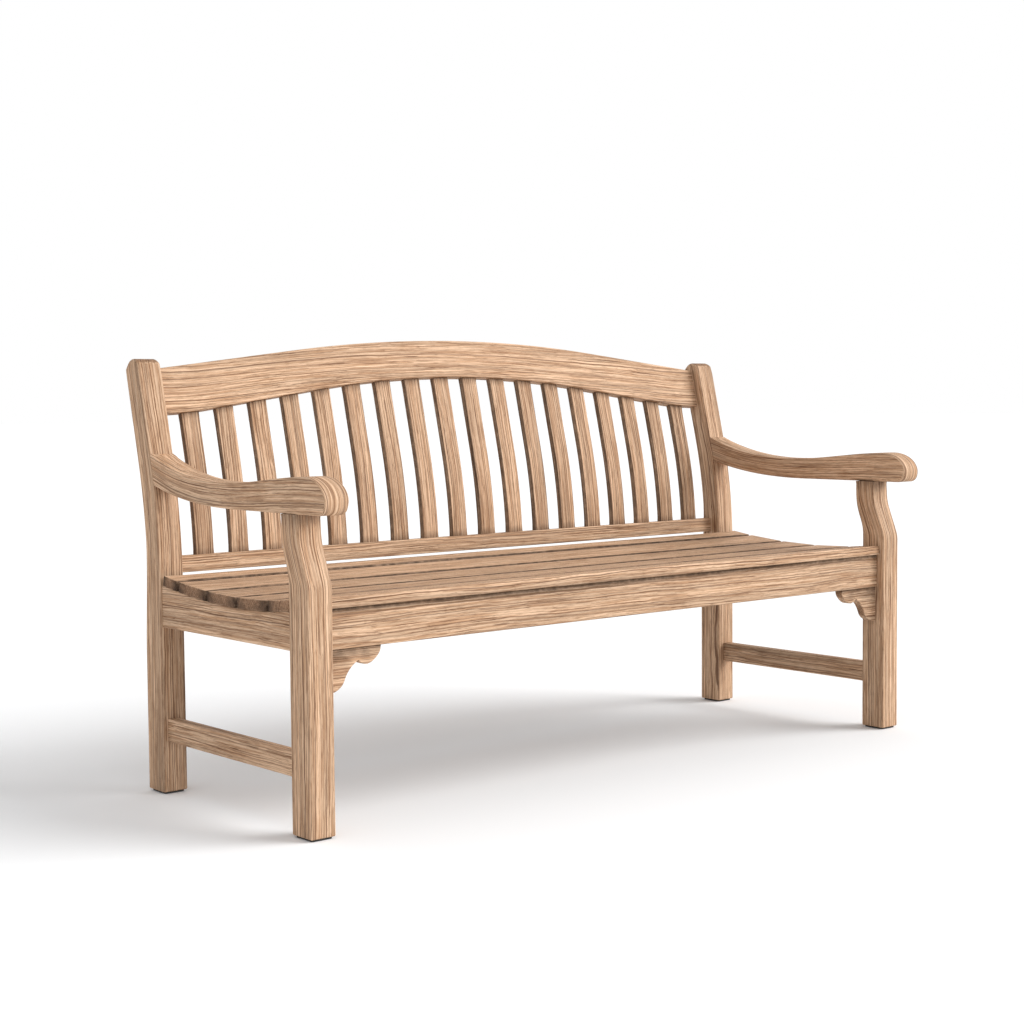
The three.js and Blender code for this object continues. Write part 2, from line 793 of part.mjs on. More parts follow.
// ---------------------------------------------------------------- corner brackets
// scrolled bracket in the corner between the apron's underside and the leg
function makeBracket(name, side) {
  const width = bracket_length
  const drop = bracket_drop
  const shape = new THREE.Shape()
  shape.moveTo(0, 0)
  shape.lineTo(0, -drop)
  shape.quadraticCurveTo(width * 0.26, -drop * 0.97, width * 0.33, -drop * 0.73)
  shape.quadraticCurveTo(width * 0.39, -drop * 0.5, width * 0.52, -drop * 0.36)
  shape.lineTo(width * 0.58, -drop * 0.3)
  shape.quadraticCurveTo(width * 0.72, -drop * 0.5, width * 0.88, -drop * 0.32)
  shape.quadraticCurveTo(width, -drop * 0.18, width, -drop * 0.07)
  shape.lineTo(width, 0)
  const geometry = new THREE.ExtrudeGeometry(shape, {
    depth: bracket_thickness,
    bevelEnabled: false,
    curveSegments: 6,
  })
  const mesh = addPiece(`${name}_corner_bracket`, geometry)
  const front = apron_front + bracket_setback
  const start = side < 0 ? front + bracket_thickness : front
  mesh.position.set(side * (half_inner - fit_gap), start, rail_bottom - fit_gap)
  mesh.rotation.set(Math.PI / 2, side < 0 ? 0 : Math.PI, 0)
}

// ---------------------------------------------------------------- foot glides
function makeGlide(name, x, y) {
  const half_x = timber_width / 2 - glide_inset
  const half_y = leg_depth / 2 - glide_inset
  const r = glide_corner
  const shape = new THREE.Shape()
  shape.moveTo(-half_x + r, -half_y)
  shape.lineTo(half_x - r, -half_y)
  shape.absarc(half_x - r, -half_y + r, r, -Math.PI / 2, 0)
  shape.absarc(half_x - r, half_y - r, r, 0, Math.PI / 2)
  shape.absarc(-half_x + r, half_y - r, r, Math.PI / 2, Math.PI)
  shape.absarc(-half_x + r, -half_y + r, r, Math.PI, 1.5 * Math.PI)
  const geometry = new THREE.ExtrudeGeometry(shape, {
    depth: glide_thickness,
    bevelEnabled: false,
    curveSegments: 3,
  })
  const mesh = addPiece(name, geometry, 'rubber')
  mesh.position.set(x, y, 0)
}

// ---------------------------------------------------------------- the whole bench
for (const [name, side] of Object.entries(sides)) {
  makePost(name, side)
  makeLeg(name, side)
  makeArm(name, side)
  makeSideRail(name, side)
  makeStretcher(name, side)
  makeBearer(name, side)
  makeBracket(name, side)
  makeGlide(`${name}_front_foot_glide`, side * arm_middle_x, leg_front + leg_depth / 2)
  makeGlide(`${name}_rear_foot_glide`, side * arm_middle_x, post_rear - leg_depth / 2)
  addPiece(`${name}_crest_peg`, back_joints[name].crest_peg.peg)
  addPiece(`${name}_lower_rail_peg`, back_joints[name].lower_peg.peg)
  addPiece(`${name}_side_rail_front_peg`, seat_joints[name].rail_front_peg.peg)
  addPiece(`${name}_side_rail_rear_peg`, seat_joints[name].rail_rear_peg.peg)
  addPiece(`${name}_apron_peg`, seat_joints[name].apron_peg.peg)
  addPiece(`${name}_rear_seat_rail_peg`, seat_joints[name].rear_rail_peg.peg)
}
makeCrestRail()
makeLowerBackRail()
makeBackSlats()
makeSeatSlats()
makeApron()
makeRearSeatRail()

// the origin is below the middle of the box round the bench
const rearmost = backPoint(crest_top + crest_top_rise, crest_recess + crest_thickness).x
bench.position.y = -(rearmost + nose_front) / 2

export default bench
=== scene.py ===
"""Garden bench in bare oak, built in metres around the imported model.

+X runs along the bench, the sitter faces -Y and the floor is at Z = 0. Every timber is a board with
eased arrises, and carries its own grain coordinates for the oak finish.
"""
import math
import random

import bmesh
import bpy
from mathutils import Matrix, Vector
from mathutils.geometry import delaunay_2d_cdt


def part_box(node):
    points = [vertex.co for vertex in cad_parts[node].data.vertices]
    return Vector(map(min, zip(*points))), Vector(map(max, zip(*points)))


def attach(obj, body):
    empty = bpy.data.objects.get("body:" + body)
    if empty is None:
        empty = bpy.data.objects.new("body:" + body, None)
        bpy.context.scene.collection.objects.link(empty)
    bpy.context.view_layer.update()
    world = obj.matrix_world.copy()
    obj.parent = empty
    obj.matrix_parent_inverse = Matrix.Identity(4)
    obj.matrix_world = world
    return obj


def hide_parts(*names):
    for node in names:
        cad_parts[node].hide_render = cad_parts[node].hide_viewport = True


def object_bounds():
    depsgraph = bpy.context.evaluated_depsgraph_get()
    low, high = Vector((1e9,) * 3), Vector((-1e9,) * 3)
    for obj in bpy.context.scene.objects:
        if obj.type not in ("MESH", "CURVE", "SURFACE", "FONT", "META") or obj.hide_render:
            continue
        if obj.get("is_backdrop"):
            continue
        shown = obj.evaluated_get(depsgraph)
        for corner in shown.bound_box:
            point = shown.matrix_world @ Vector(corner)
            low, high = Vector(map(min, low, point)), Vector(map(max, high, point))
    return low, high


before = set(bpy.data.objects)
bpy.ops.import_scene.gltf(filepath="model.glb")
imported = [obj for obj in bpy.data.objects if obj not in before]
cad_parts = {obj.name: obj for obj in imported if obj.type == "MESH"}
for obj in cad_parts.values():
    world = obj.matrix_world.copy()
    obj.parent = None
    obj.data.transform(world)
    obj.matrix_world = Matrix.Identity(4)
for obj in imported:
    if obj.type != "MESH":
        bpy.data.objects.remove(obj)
cad_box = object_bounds()

# ---- sizes repeated from the design
fit_gap = 0.0003
leg_depth = 0.068
seat_height = 0.455

bend_height = seat_height - 0.005
bend_radius = 1.250
back_rake = math.radians(13.4)
bend_arc = bend_radius * back_rake
post_upper_depth = 0.056
post_taper_start = bend_height - 0.150
post_taper_end = 0.110
post_top = 0.496
post_crown = 0.015

crest_thickness = 0.030
crest_recess = 0.026
crest_bottom = 0.389
crest_bottom_rise = 0.083
crest_top = 0.490
crest_top_rise = 0.075
# shares of the half length where each edge stops being round, and where it flares to level
crest_bottom_round = 0.5
crest_bottom_flare = 0.85
crest_top_round = 0.56
crest_top_flare = 1.0
lower_rail_thickness = 0.027
lower_rail_recess = 0.030
lower_rail_height = 0.037
lower_rail_above_seat = 0.024
lower_rail_middle = seat_height + lower_rail_above_seat + lower_rail_height / 2 - bend_height

back_slat_count = 18
back_slat_thickness = 0.015
back_slat_recess = 0.034

seat_radius = 2.000
seat_low_offset = -0.060
seat_slat_thickness = 0.022
seat_slat_gap = 0.010
rear_slat_width = 0.056
front_slat_width = 0.134
seat_to_post = 0.006
front_slat_recess = 0.012

arm_low_height = seat_height + 0.232
arm_under_height = seat_height + 0.179
arm_front_rise = 0.020
arm_rear_rise = 0.053
arm_under_rise = 0.038
nose_length = 0.074
nose_heel = 0.026

leg_setback = 0.036
leg_neck_depth = 0.055
leg_kink_low = seat_height + 0.042
leg_kink_high = seat_height + 0.120

peg_radius = 0.005
peg_sink = 0.001
screw_head_radius = 0.006
screw_head_height = 0.004
screw_radius = 0.003
screw_reach = 0.034

# ---- how the arrises are eased
arris = 0.0028  # long edges of the heavy timbers
rail_arris = 0.0022
slat_arris = 0.0018
seat_arris = 0.0080  # along the tops of the seat slats
joint_arris = 0.0004  # where a board meets its neighbour
joint_corner = 0.0007
foot_corner = 0.0035
seat_corner = 0.0035
post_top_arris = 0.0065
post_top_corner = 0.0085
arm_inner_arris = 0.0115  # lower inner edge of each arm
nose_inner_arris = 0.006
bevel_steps = 4
curve_step = 0.011
straight_step = 0.045

# ---- places from the frame
post_low, post_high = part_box("left_back_post")
leg_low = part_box("left_front_leg")[0]
arm_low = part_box("left_arm")[0]
half_length = -post_low.x
timber_width = post_high.x - post_low.x
half_inner = half_length - timber_width
timber_middle = half_length - timber_width / 2
leg_front = leg_low.y
leg_rear = leg_front + leg_depth
leg_foot = leg_low.z
post_front = post_low.y
post_rear = post_front + leg_depth
nose_front = arm_low.y
leg_top = arm_under_height - fit_gap
neck_front = leg_front + leg_setback
neck_rear = neck_front + leg_neck_depth
seat_low = (leg_front + post_rear) / 2 + seat_low_offset
arm_join = arm_low_height + arm_rear_rise - 0.032 - bend_height

sides = {"left": -1, "right": 1}
chance = random.Random(1859)


# ---- curves in a plane
def lerp(a, b, t):
    return a + (b - a) * t


def smooth_step(low, high, value):
    t = min(max((value - low) / (high - low), 0.0), 1.0)
    return t * t * (3 - 2 * t)


def line(start, end, step=straight_step):
    start, end = Vector(start), Vector(end)
    count = max(1, math.ceil((end - start).length / step))
    return [start.lerp(end, i / count) for i in range(count + 1)]


def bezier(a, b, c, d, steps=12):
    points = []
    for i in range(steps + 1):
        t = i / steps
        points.append(
            Vector(a) * (1 - t) ** 3
            + Vector(b) * 3 * t * (1 - t) ** 2
            + Vector(c) * 3 * t * t * (1 - t)
            + Vector(d) * t**3
        )
    return points


def quadratic(a, b, c, steps=8):
    a, b, c = Vector(a), Vector(b), Vector(c)
    return bezier(a, a.lerp(b, 2 / 3), c.lerp(b, 2 / 3), c, steps)


def join(*stretches):
    """One smooth run from stretches that meet end to end."""
    run = list(stretches[0])
    for stretch in stretches[1:]:
        run += stretch[1:]
    return run


def trimmed(run, length):
    """The run without its last stretch of the given length."""
    run = [point.copy() for point in run]
    while len(run) > 2 and (run[-1] - run[-2]).length <= length:
        length -= (run[-1] - run[-2]).length
        run.pop()
    last = run[-1] - run[-2]
    run[-1] = run[-1] - last.normalized() * min(length, last.length * 0.9)
    return run


def rounded(runs, radii):
    """Closed outline, as [(point, outward normal)], from runs whose corners are rounded.

    radii[i] is the radius where run i meets the next one. The runs go anticlockwise.
    """
    runs = [[Vector(point) for point in run] for run in runs]

    def meeting(runs, i):
        """Directions in which run i ends and the next one starts."""
        run, after = runs[i], runs[(i + 1) % len(runs)]
        return (run[-1] - run[-2]).normalized(), (after[1] - after[0]).normalized()

    turns = []
    for i in range(len(runs)):
        a, b = meeting(runs, i)
        turns.append(math.atan2(a.x * b.y - a.y * b.x, a.dot(b)))
    cuts = [
        radius * math.tan(abs(turn) / 2) if abs(turn) > 0.04 else 0.0
        for radius, turn in zip(radii, turns)
    ]
    cut_runs = []
    for i, run in enumerate(runs):
        if cuts[i]:
            run = trimmed(run, cuts[i])
        if cuts[i - 1]:
            run = trimmed(run[::-1], cuts[i - 1])[::-1]
        cut_runs.append(run)
    outline = []
    for i, run in enumerate(cut_runs):
        for k, point in enumerate(run):
            way = run[min(k + 1, len(run) - 1)] - run[max(k - 1, 0)]
            outline.append((point, way.normalized()))
        if not cuts[i]:
            outline.pop()
            continue
        a, b = meeting(cut_runs, i)
        end, start = run[-1], cut_runs[(i + 1) % len(runs)][0]
        turn = abs(turns[i])
        reach = 4 / 3 * math.tan(turn / 4) * radii[i]
        count = max(2, math.ceil(turn / math.radians(20)))
        bend = bezier(end, end + a * reach, start - b * reach, start, count)
        for k in range(1, count):
            outline.append((bend[k], (bend[k + 1] - bend[k - 1]).normalized()))
    return [(point, Vector((way.y, -way.x))) for point, way in outline]


def polygon(corners, radii):
    after = corners[1:] + corners[:1]
    return rounded([line(a, b) for a, b in zip(corners, after)], radii)


def box_outline(left, right, low, high, radius):
    return polygon([(left, low), (right, low), (right, high), (left, high)], [radius] * 4)


# ---- boards
def add_to_scene(name, data):
    added = bpy.data.objects.new(name, data)
    bpy.context.scene.collection.objects.link(added)
    return added


def finished_mesh(name, bm):
    bmesh.ops.recalc_face_normals(bm, faces=bm.faces)
    mesh = bpy.data.meshes.new(name)
    bm.to_mesh(mesh)
    bm.free()
    return add_to_scene(name, mesh)


def board(name, outline, place, half, ease):
    """A board with this outline, from w = -half to +half, and eased rims.

    place(u, v, w) gives a point of the frame, and ease is a radius, or a function of (point, side).
    """
    ease_at = ease if callable(ease) else lambda point, side: ease
    bm = bmesh.new()
    edge_mark = bm.verts.layers.float.new("arris")
    rings = []
    for side in (-1, 1):
        angles = [math.pi / 2 * k / bevel_steps for k in range(bevel_steps + 1)]
        for angle in angles if side > 0 else reversed(angles):
            ring = []
            for point, normal in outline:
                radius = ease_at(point, side)
                moved = point - normal * radius * (1 - math.cos(angle))
                height = side * (half - radius * (1 - math.sin(angle)))
                vert = bm.verts.new(place(moved.x, moved.y, height))
                vert[edge_mark] = math.sin(2 * angle)
                ring.append((vert, moved))
            rings.append(ring)
    count = len(outline)
    for low, high in zip(rings, rings[1:]):
        for i in range(count):
            k = (i + 1) % count
            bm.faces.new((low[i][0], low[k][0], high[k][0], high[i][0]))
    for ring, flip in ((rings[0], True), (rings[-1], False)):
        points = [moved for _, moved in ring]
        _, _, triangles, origins, _, _ = delaunay_2d_cdt(points, [], [list(range(count))], 1, 1e-7)
        for triangle in triangles:
            corners = [ring[origins[k][0]][0] for k in triangle]
            if len(set(corners)) == 3:
                bm.faces.new(corners[::-1] if flip else corners)
    return finished_mesh(name, bm)


def turned(name, profile, place, segments=40):
    """A turned piece: profile is [(radius, height)] from one end of the axis to the other."""
    bm = bmesh.new()
    rings = []
    for radius, height in profile:
        if radius == 0:
            rings.append([bm.verts.new(place(0, 0, height))] * segments)
            continue
        ring = []
        for i in range(segments):
            angle = 2 * math.pi * i / segments
            ring.append(bm.verts.new(place(radius * math.cos(angle), radius * math.sin(angle), height)))
        rings.append(ring)
    for low, high in zip(rings, rings[1:]):
        for i in range(segments):
            k = (i + 1) % segments
            corners = list(dict.fromkeys((low[i], low[k], high[k], high[i])))
            bm.faces.new(corners)
    return finished_mesh(name, bm)


def cut(piece, tools):
    """Cuts the tools out of a piece and removes them."""
    for tool in tools:
        modifier = piece.modifiers.new("cut", "BOOLEAN")
        modifier.operation = "DIFFERENCE"
        modifier.solver = "EXACT"
        modifier.object = tool
    graph = bpy.context.evaluated_depsgraph_get()
    whole = piece.data
    piece.data = bpy.data.meshes.new_from_object(piece.evaluated_get(graph))
    piece.modifiers.clear()
    piece.data.name = piece.name
    bpy.data.meshes.remove(whole)
    for tool in tools:
        bpy.data.objects.remove(tool)


# ---- grain
x_axis, y_axis, z_axis = Vector((1, 0, 0)), Vector((0, 1, 0)), Vector((0, 0, 1))
# straight grain: the grain's coordinates at a point, and the way it runs
along_x = (lambda point: (point.x, point.z, point.y), x_axis)
along_y = (lambda point: (point.y, point.z, point.x), y_axis)


def up_the_back(point):
    """Place of a point on the back: s up the curve, d behind the posts' front faces."""
    if point.z < bend_height:
        return point.z - bend_height, point.y - post_front
    inward = post_front + bend_radius - point.y
    angle = math.atan2(point.z - bend_height, inward)
    if angle < back_rake:
        return bend_radius * angle, bend_radius - math.hypot(inward, point.z - bend_height)
    y, z = back_point(bend_arc, 0)
    dy, dz = point.y - y, point.z - z
    along = dy * math.sin(back_rake) + dz * math.cos(back_rake)
    return bend_arc + along, dy * math.cos(back_rake) - dz * math.sin(back_rake)


def grain_up_back(point):
    s, d = up_the_back(point)
    return s, d, point.x


def finish_oak(piece, node, coordinates, way, quarter, painted_shade=lambda point: 0.0, slot="oak"):
    """Stores a board's grain and painted shade, and dresses it as the node.

    way is the grain's direction, or a function of the point. quarter is 0 for a board sawn flat and
    1 for one sawn on the quarter. The shade function gives how much painted shade darkens a point, from 0 to
    1.
    """
    way_at = way if callable(way) else lambda point: way
    mesh = piece.data
    start = chance.uniform(0, 30)
    pith = chance.uniform(0.07, 0.15)
    turn = math.radians(lerp(80, 10, quarter) + chance.uniform(-12, 12)) * chance.choice((-1, 1))
    tone = chance.uniform(-1, 1)
    centre = sum((Vector(corner) for corner in piece.bound_box), Vector()) / 8
    middle = Vector(coordinates(centre))
    grain, ways, painted_shades = [], [], []
    for vert in mesh.vertices:
        along, across, depth = Vector(coordinates(vert.co)) - middle
        radial = across * math.cos(turn) + depth * math.sin(turn) + pith
        tangent = depth * math.cos(turn) - across * math.sin(turn)
        grain += (along + start, radial, tangent)
        ways.extend(way_at(vert.co))
        painted_shades.append(painted_shade(vert.co))
    count = len(mesh.vertices)
    mesh.attributes.new("grain", "FLOAT_VECTOR", "POINT").data.foreach_set("vector", grain)
    mesh.attributes.new("grain_way", "FLOAT_VECTOR", "POINT").data.foreach_set("vector", ways)
    # per-vertex painted shade, read by the joint shade effect
    mesh.attributes.new("painted_shade", "FLOAT", "POINT").data.foreach_set("value", painted_shades)
    mesh.attributes.new("tone", "FLOAT", "POINT").data.foreach_set("value", [tone] * count)
    dress(piece, node, slot)


def dress(piece, node, slot):
    """Gives a piece its shading and material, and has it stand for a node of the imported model."""
    bm = bmesh.new()
    bm.from_mesh(piece.data)
    bmesh.ops.remove_doubles(bm, verts=bm.verts, dist=1e-6)
    crease = math.radians(38)
    for face in bm.faces:
        face.smooth = True
    for edge in bm.edges:
        edge.smooth = len(edge.link_faces) == 2 and edge.calc_face_angle(0) < crease
    bm.to_mesh(piece.data)
    bm.free()
    piece.data.materials.clear()
    piece.data.materials.append(finishes[slot])
    normals = piece.modifiers.new("flat faces stay flat", "WEIGHTED_NORMAL")
    normals.keep_sharp = True
    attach(piece, "root")
    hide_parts(node)


# ---- shader node helpers
def feed(tree, socket, value):
    """Links a node's output to the socket, or sets the socket's own value."""
    if isinstance(value, bpy.types.NodeSocket):
        tree.links.new(value, socket)
    else:
        socket.default_value = value


def add_node(tree, kind, inputs=None, **settings):
    node = tree.nodes.new(kind)
    for key, value in settings.items():
        setattr(node, key, value)
    for key, value in (inputs or {}).items():
        feed(tree, node.inputs[key], value)
    return node


def calc(tree, operation, a, b=0.0, c=0.0):
    node = add_node(tree, "ShaderNodeMath", {0: a, 1: b, 2: c}, operation=operation)
    return node.outputs[0]


def vector_calc(tree, operation, a, b=(0, 0, 0)):
    node = add_node(tree, "ShaderNodeVectorMath", {0: a, 1: b}, operation=operation)
    return node.outputs[1 if operation in ("DOT_PRODUCT", "LENGTH") else 0]


def stretch(tree, vector, along, across):
    """The grain coordinates, scaled by one number along the grain and another across it."""
    return vector_calc(tree, "MULTIPLY", vector, (along, across, across))


def cloud(tree, vector, detail=2.0, roughness=0.5, colour=False):
    inputs = {"Vector": vector, "Scale": 1.0, "Detail": detail, "Roughness": roughness}
    node = add_node(tree, "ShaderNodeTexNoise", inputs)
    return node.outputs["Color" if colour else "Fac"]


def cloud_on_line(tree, value, scale, detail=1.0):
    inputs = {"W": value, "Scale": scale, "Detail": detail}
    node = add_node(tree, "ShaderNodeTexNoise", inputs, noise_dimensions="1D")
    return node.outputs["Fac"]


def ramp(tree, value, low, high, to_low=0.0, to_high=1.0):
    inputs = {"Value": value, "From Min": low, "From Max": high, "To Min": to_low, "To Max": to_high}
    node = add_node(tree, "ShaderNodeMapRange", inputs, interpolation_type="SMOOTHSTEP")
    return node.outputs["Result"]


def blend(tree, factor, a, b):
    node = add_node(tree, "ShaderNodeMix", data_type="RGBA")
    for index, value in ((0, factor), (6, a), (7, b)):
        feed(tree, node.inputs[index], value)
    return node.outputs[2]


def effect(name, inputs, outputs):
    """A shader node group with named sockets, and its input and output nodes."""
    tree = bpy.data.node_groups.new(name, "ShaderNodeTree")
    for label, kind, value in inputs:
        socket = tree.interface.new_socket(name=label, in_out="INPUT", socket_type=kind)
        if value is not None:
            socket.default_value = value
    for label, kind in outputs:
        tree.interface.new_socket(name=label, in_out="OUTPUT", socket_type=kind)
    return tree, tree.nodes.new("NodeGroupInput"), tree.nodes.new("NodeGroupOutput")


def use_effect(tree, group, inputs):
    return add_node(tree, "ShaderNodeGroup", inputs, node_tree=group)


COLOUR, NUMBER, VECTOR = "NodeSocketColor", "NodeSocketFloat", "NodeSocketVector"


# ---- shared effects
def make_oak_fibre():
    """Growth rings, fibre streaks and pores, from a board's grain coordinates."""
    tree, given, result = effect(
        "oak fibre",
        [
            ("Grain", VECTOR, None), ("End Grain", NUMBER, 0.0), ("Tone", NUMBER, 0.0),
            ("Pale", COLOUR, (0.80, 0.56, 0.36, 1)), ("Tan", COLOUR, (0.60, 0.36, 0.19, 1)),
            ("Brown", COLOUR, (0.26, 0.12, 0.055, 1)), ("Ring Spacing", NUMBER, 0.0055),
            ("Line Strength", NUMBER, 0.6),
        ],
        [("Color", COLOUR), ("Roughness", NUMBER), ("Height", NUMBER)],
    )
    grain = given.outputs["Grain"]
    lines = given.outputs["Line Strength"]
    pale, tan, brown = (given.outputs[label] for label in ("Pale", "Tan", "Brown"))

    def waver(along, across, detail, reach):
        """Sideways drift of the grain, up to half of reach each way."""
        drift = cloud(tree, stretch(tree, grain, along, across), detail, colour=True)
        drift = vector_calc(tree, "SUBTRACT", drift, (0.5, 0.5, 0.5))
        return vector_calc(tree, "MULTIPLY", drift, (0, reach, reach))

    wavy = vector_calc(tree, "ADD", grain, waver(1.7, 6, 1, 0.020))
    wavy = vector_calc(tree, "ADD", wavy, waver(13, 34, 2, 0.0036))

    radius = vector_calc(tree, "LENGTH", vector_calc(tree, "MULTIPLY", wavy, (0, 1, 1)))
    ring = calc(tree, "DIVIDE", radius, given.outputs["Ring Spacing"])
    ring = calc(tree, "MULTIPLY_ADD", cloud_on_line(tree, radius, 95), 1.6, ring)
    share = calc(tree, "FRACT", ring)
    late = calc(tree, "MULTIPLY", ramp(tree, share, 0.58, 0.88), ramp(tree, share, 1.0, 0.93))
    season = cloud_on_line(tree, ring, 0.37, 0.0)

    streak = cloud(tree, stretch(tree, wavy, 5, 330), 3, 0.62)
    strand = cloud(tree, stretch(tree, wavy, 7, 560), 2, 0.6)
    fibre = cloud(tree, stretch(tree, wavy, 11, 1050), 2, 0.6)
    pore = ramp(tree, cloud(tree, stretch(tree, wavy, 32, 1500), 1), 0.60, 0.70)
    patch = cloud(tree, stretch(tree, grain, 1.1, 7), 2)
    band = cloud(tree, stretch(tree, wavy, 1.4, 95), 2)

    colour = blend(tree, ramp(tree, streak, 0.38, 0.62), pale, tan)
    thread = ramp(tree, streak, 0.36, 0.58, 0.25, 1.0)
    thread = calc(tree, "MULTIPLY", ramp(tree, strand, 0.54, 0.66), thread)
    season_line = calc(tree, "MULTIPLY", late, ramp(tree, season, 0.30, 0.70, 0.35, 1.0))
    line_mask = calc(tree, "MAXIMUM", thread, season_line)
    line_mask = calc(tree, "MULTIPLY", line_mask, ramp(tree, fibre, 0.3, 0.7, 0.55, 1.0))
    line_mask = calc(tree, "MULTIPLY", line_mask, lines)
    colour = blend(tree, line_mask, colour, brown)
    pore_mask = calc(tree, "MULTIPLY", pore, calc(tree, "MULTIPLY", lines, 0.55))
    colour = blend(tree, pore_mask, colour, brown)

    speckle = cloud(tree, stretch(tree, wavy, 30, 700), 3, 0.7)
    end_colour = blend(tree, ramp(tree, speckle, 0.35, 0.62), tan, brown)
    end_colour = blend(tree, calc(tree, "MULTIPLY", late, 0.45), end_colour, brown)
    colour = blend(tree, calc(tree, "MULTIPLY", given.outputs["End Grain"], 0.8), colour, end_colour)

    lift = calc(tree, "MULTIPLY_ADD", given.outputs["Tone"], 0.06, 1.0)
    for shade, amount in ((patch, 0.6), (band, 0.9), (fibre, 0.55)):
        lift = calc(tree, "MULTIPLY_ADD", calc(tree, "SUBTRACT", shade, 0.5), amount, lift)
    scaled = add_node(tree, "ShaderNodeVectorMath", {0: colour, 3: lift}, operation="SCALE")
    tree.links.new(scaled.outputs[0], result.inputs["Color"])

    rough = calc(tree, "MULTIPLY_ADD", pore, 0.15, calc(tree, "MULTIPLY_ADD", streak, 0.22, 0.50))
    tree.links.new(rough, result.inputs["Roughness"])

    height = calc(tree, "MULTIPLY_ADD", pore, -0.6, calc(tree, "MULTIPLY", line_mask, -0.8))
    height = calc(tree, "MULTIPLY_ADD", fibre, 0.35, height)
    tree.links.new(height, result.inputs["Height"])
    return tree


def make_wear(name, where, cover, colour, amount, patches, rougher, spread=None):
    """A cover over part of a finish, used for painted shade, a film of dust, and a rub with painted
    highlight.

    where names the input that says where it lies, remapped by spread if that is given. cover, colour
    and amount are the cover's name, colour and strength. patches is the scale and detail of its clouds,
    then what ramp takes after the noise. rougher is the change in roughness.
    """
    scale, detail, *levels = patches
    tree, given, result = effect(
        name,
        [
            ("Color", COLOUR, (0.5, 0.5, 0.5, 1)), ("Roughness", NUMBER, 0.6), (where, NUMBER, 0.0),
            ("Place", VECTOR, None), (cover, COLOUR, colour), ("Amount", NUMBER, amount),
        ],
        [("Color", COLOUR), ("Roughness", NUMBER)],
    )
    place = vector_calc(tree, "MULTIPLY", given.outputs["Place"], (scale, scale, scale))
    clouds = cloud(tree, place, detail, 0.6)
    lying = given.outputs[where]
    if spread:
        lying = ramp(tree, lying, *spread)
    mask = calc(tree, "MULTIPLY", lying, ramp(tree, clouds, *levels))
    mask = calc(tree, "MULTIPLY", mask, given.outputs["Amount"])
    covered = blend(tree, mask, given.outputs["Color"], given.outputs[cover])
    tree.links.new(covered, result.inputs["Color"])
    rough = calc(tree, "MULTIPLY_ADD", mask, rougher, given.outputs["Roughness"])
    tree.links.new(rough, result.inputs["Roughness"])
    return tree


oak_fibre = make_oak_fibre()

# painted shade: dark brown laid in the gaps between slats, where boards meet, and under parts, where shade
# falls
joint_painted_shade = make_wear(
    "joint painted shade", "Painted Shade", "Shade Colour", (0.05, 0.03, 0.02, 1), 0.95, (45, 4, 0.25, 0.65, 0.6, 1.0), 0.25
)

# painted highlight and wear: arrises painted paler where they catch the light, and rubbed smoother by hands
# and weather
edge_wear_and_highlight = make_wear(
    "edge wear and highlight", "Arris", "Rubbed Highlight", (0.8, 0.6, 0.4, 1), 0.3, (38, 3, 0.38, 0.62), -0.15
)

# a thin grey film that settles unevenly, most of all on faces that look up
garden_dust = make_wear(
    "garden dust", "Upward", "Dust", (0.42, 0.38, 0.33, 1), 0.2, (9, 4, 0.40, 0.70), 0.3,
    (-0.2, 1.0, 0.35, 1.0),
)


# ---- finishes
def new_material(name):
    material = bpy.data.materials.new(name)
    material.use_nodes = True
    tree = material.node_tree
    return material, tree, tree.nodes["Principled BSDF"]


def weathered(tree, shader, colour, roughness, edge, dust):
    """Runs a finish through the edge (wear with painted highlight), painted shade and dust effects into the
    shader.
    """
    place = add_node(tree, "ShaderNodeTexCoord").outputs["Object"]
    upward = add_node(tree, "ShaderNodeSeparateXYZ", {0: surface_normal(tree)}).outputs["Z"]
    for wear, inputs in (
        (edge_wear_and_highlight, {"Arris": attribute(tree, "arris"), **edge}),
        # painted shade in the gaps and joints, from the per-vertex attribute
        (joint_painted_shade, {"Painted Shade": attribute(tree, "painted_shade")}),
        (garden_dust, {"Upward": upward, **dust}),
    ):
        before = {"Color": colour, "Roughness": roughness, "Place": place}
        worn = use_effect(tree, wear, {**before, **inputs})
        colour, roughness = worn.outputs["Color"], worn.outputs["Roughness"]
    tree.links.new(colour, shader.inputs["Base Color"])
    tree.links.new(roughness, shader.inputs["Roughness"])


def attribute(tree, name, output="Fac"):
    return add_node(tree, "ShaderNodeAttribute", attribute_name=name).outputs[output]


def surface_normal(tree):
    return add_node(tree, "ShaderNodeNewGeometry").outputs["Normal"]


def emboss(tree, shader, height, strength, relief):
    bump = add_node(tree, "ShaderNodeBump", {"Height": height, "Strength": strength, "Distance": relief})
    tree.links.new(bump.outputs["Normal"], shader.inputs["Normal"])


def make_oak(name, pale, tan, brown, spacing, lines, relief):
    material, tree, shader = new_material(name)
    way = attribute(tree, "grain_way", "Vector")
    facing = vector_calc(tree, "DOT_PRODUCT", surface_normal(tree), way)
    end_grain = ramp(tree, calc(tree, "ABSOLUTE", facing), 0.62, 0.90)
    fibre = use_effect(
        tree,
        oak_fibre,
        {
            "Grain": attribute(tree, "grain", "Vector"), "End Grain": end_grain,
            "Tone": attribute(tree, "tone"), "Pale": pale, "Tan": tan, "Brown": brown,
            "Ring Spacing": spacing, "Line Strength": lines,
        },
    )
    # arrises lightened towards the pale colour (painted highlight along with wear), and painted shade in the
    # joints
    weathered(
        tree, shader, fibre.outputs["Color"], fibre.outputs["Roughness"],
        {"Rubbed Highlight": pale, "Amount": 0.35}, {"Dust": (0.40, 0.35, 0.29, 1), "Amount": 0.05},
    )
    emboss(tree, shader, fibre.outputs["Height"], 0.6, relief)
    shader.inputs["Specular IOR Level"].default_value = 0.15
    return material


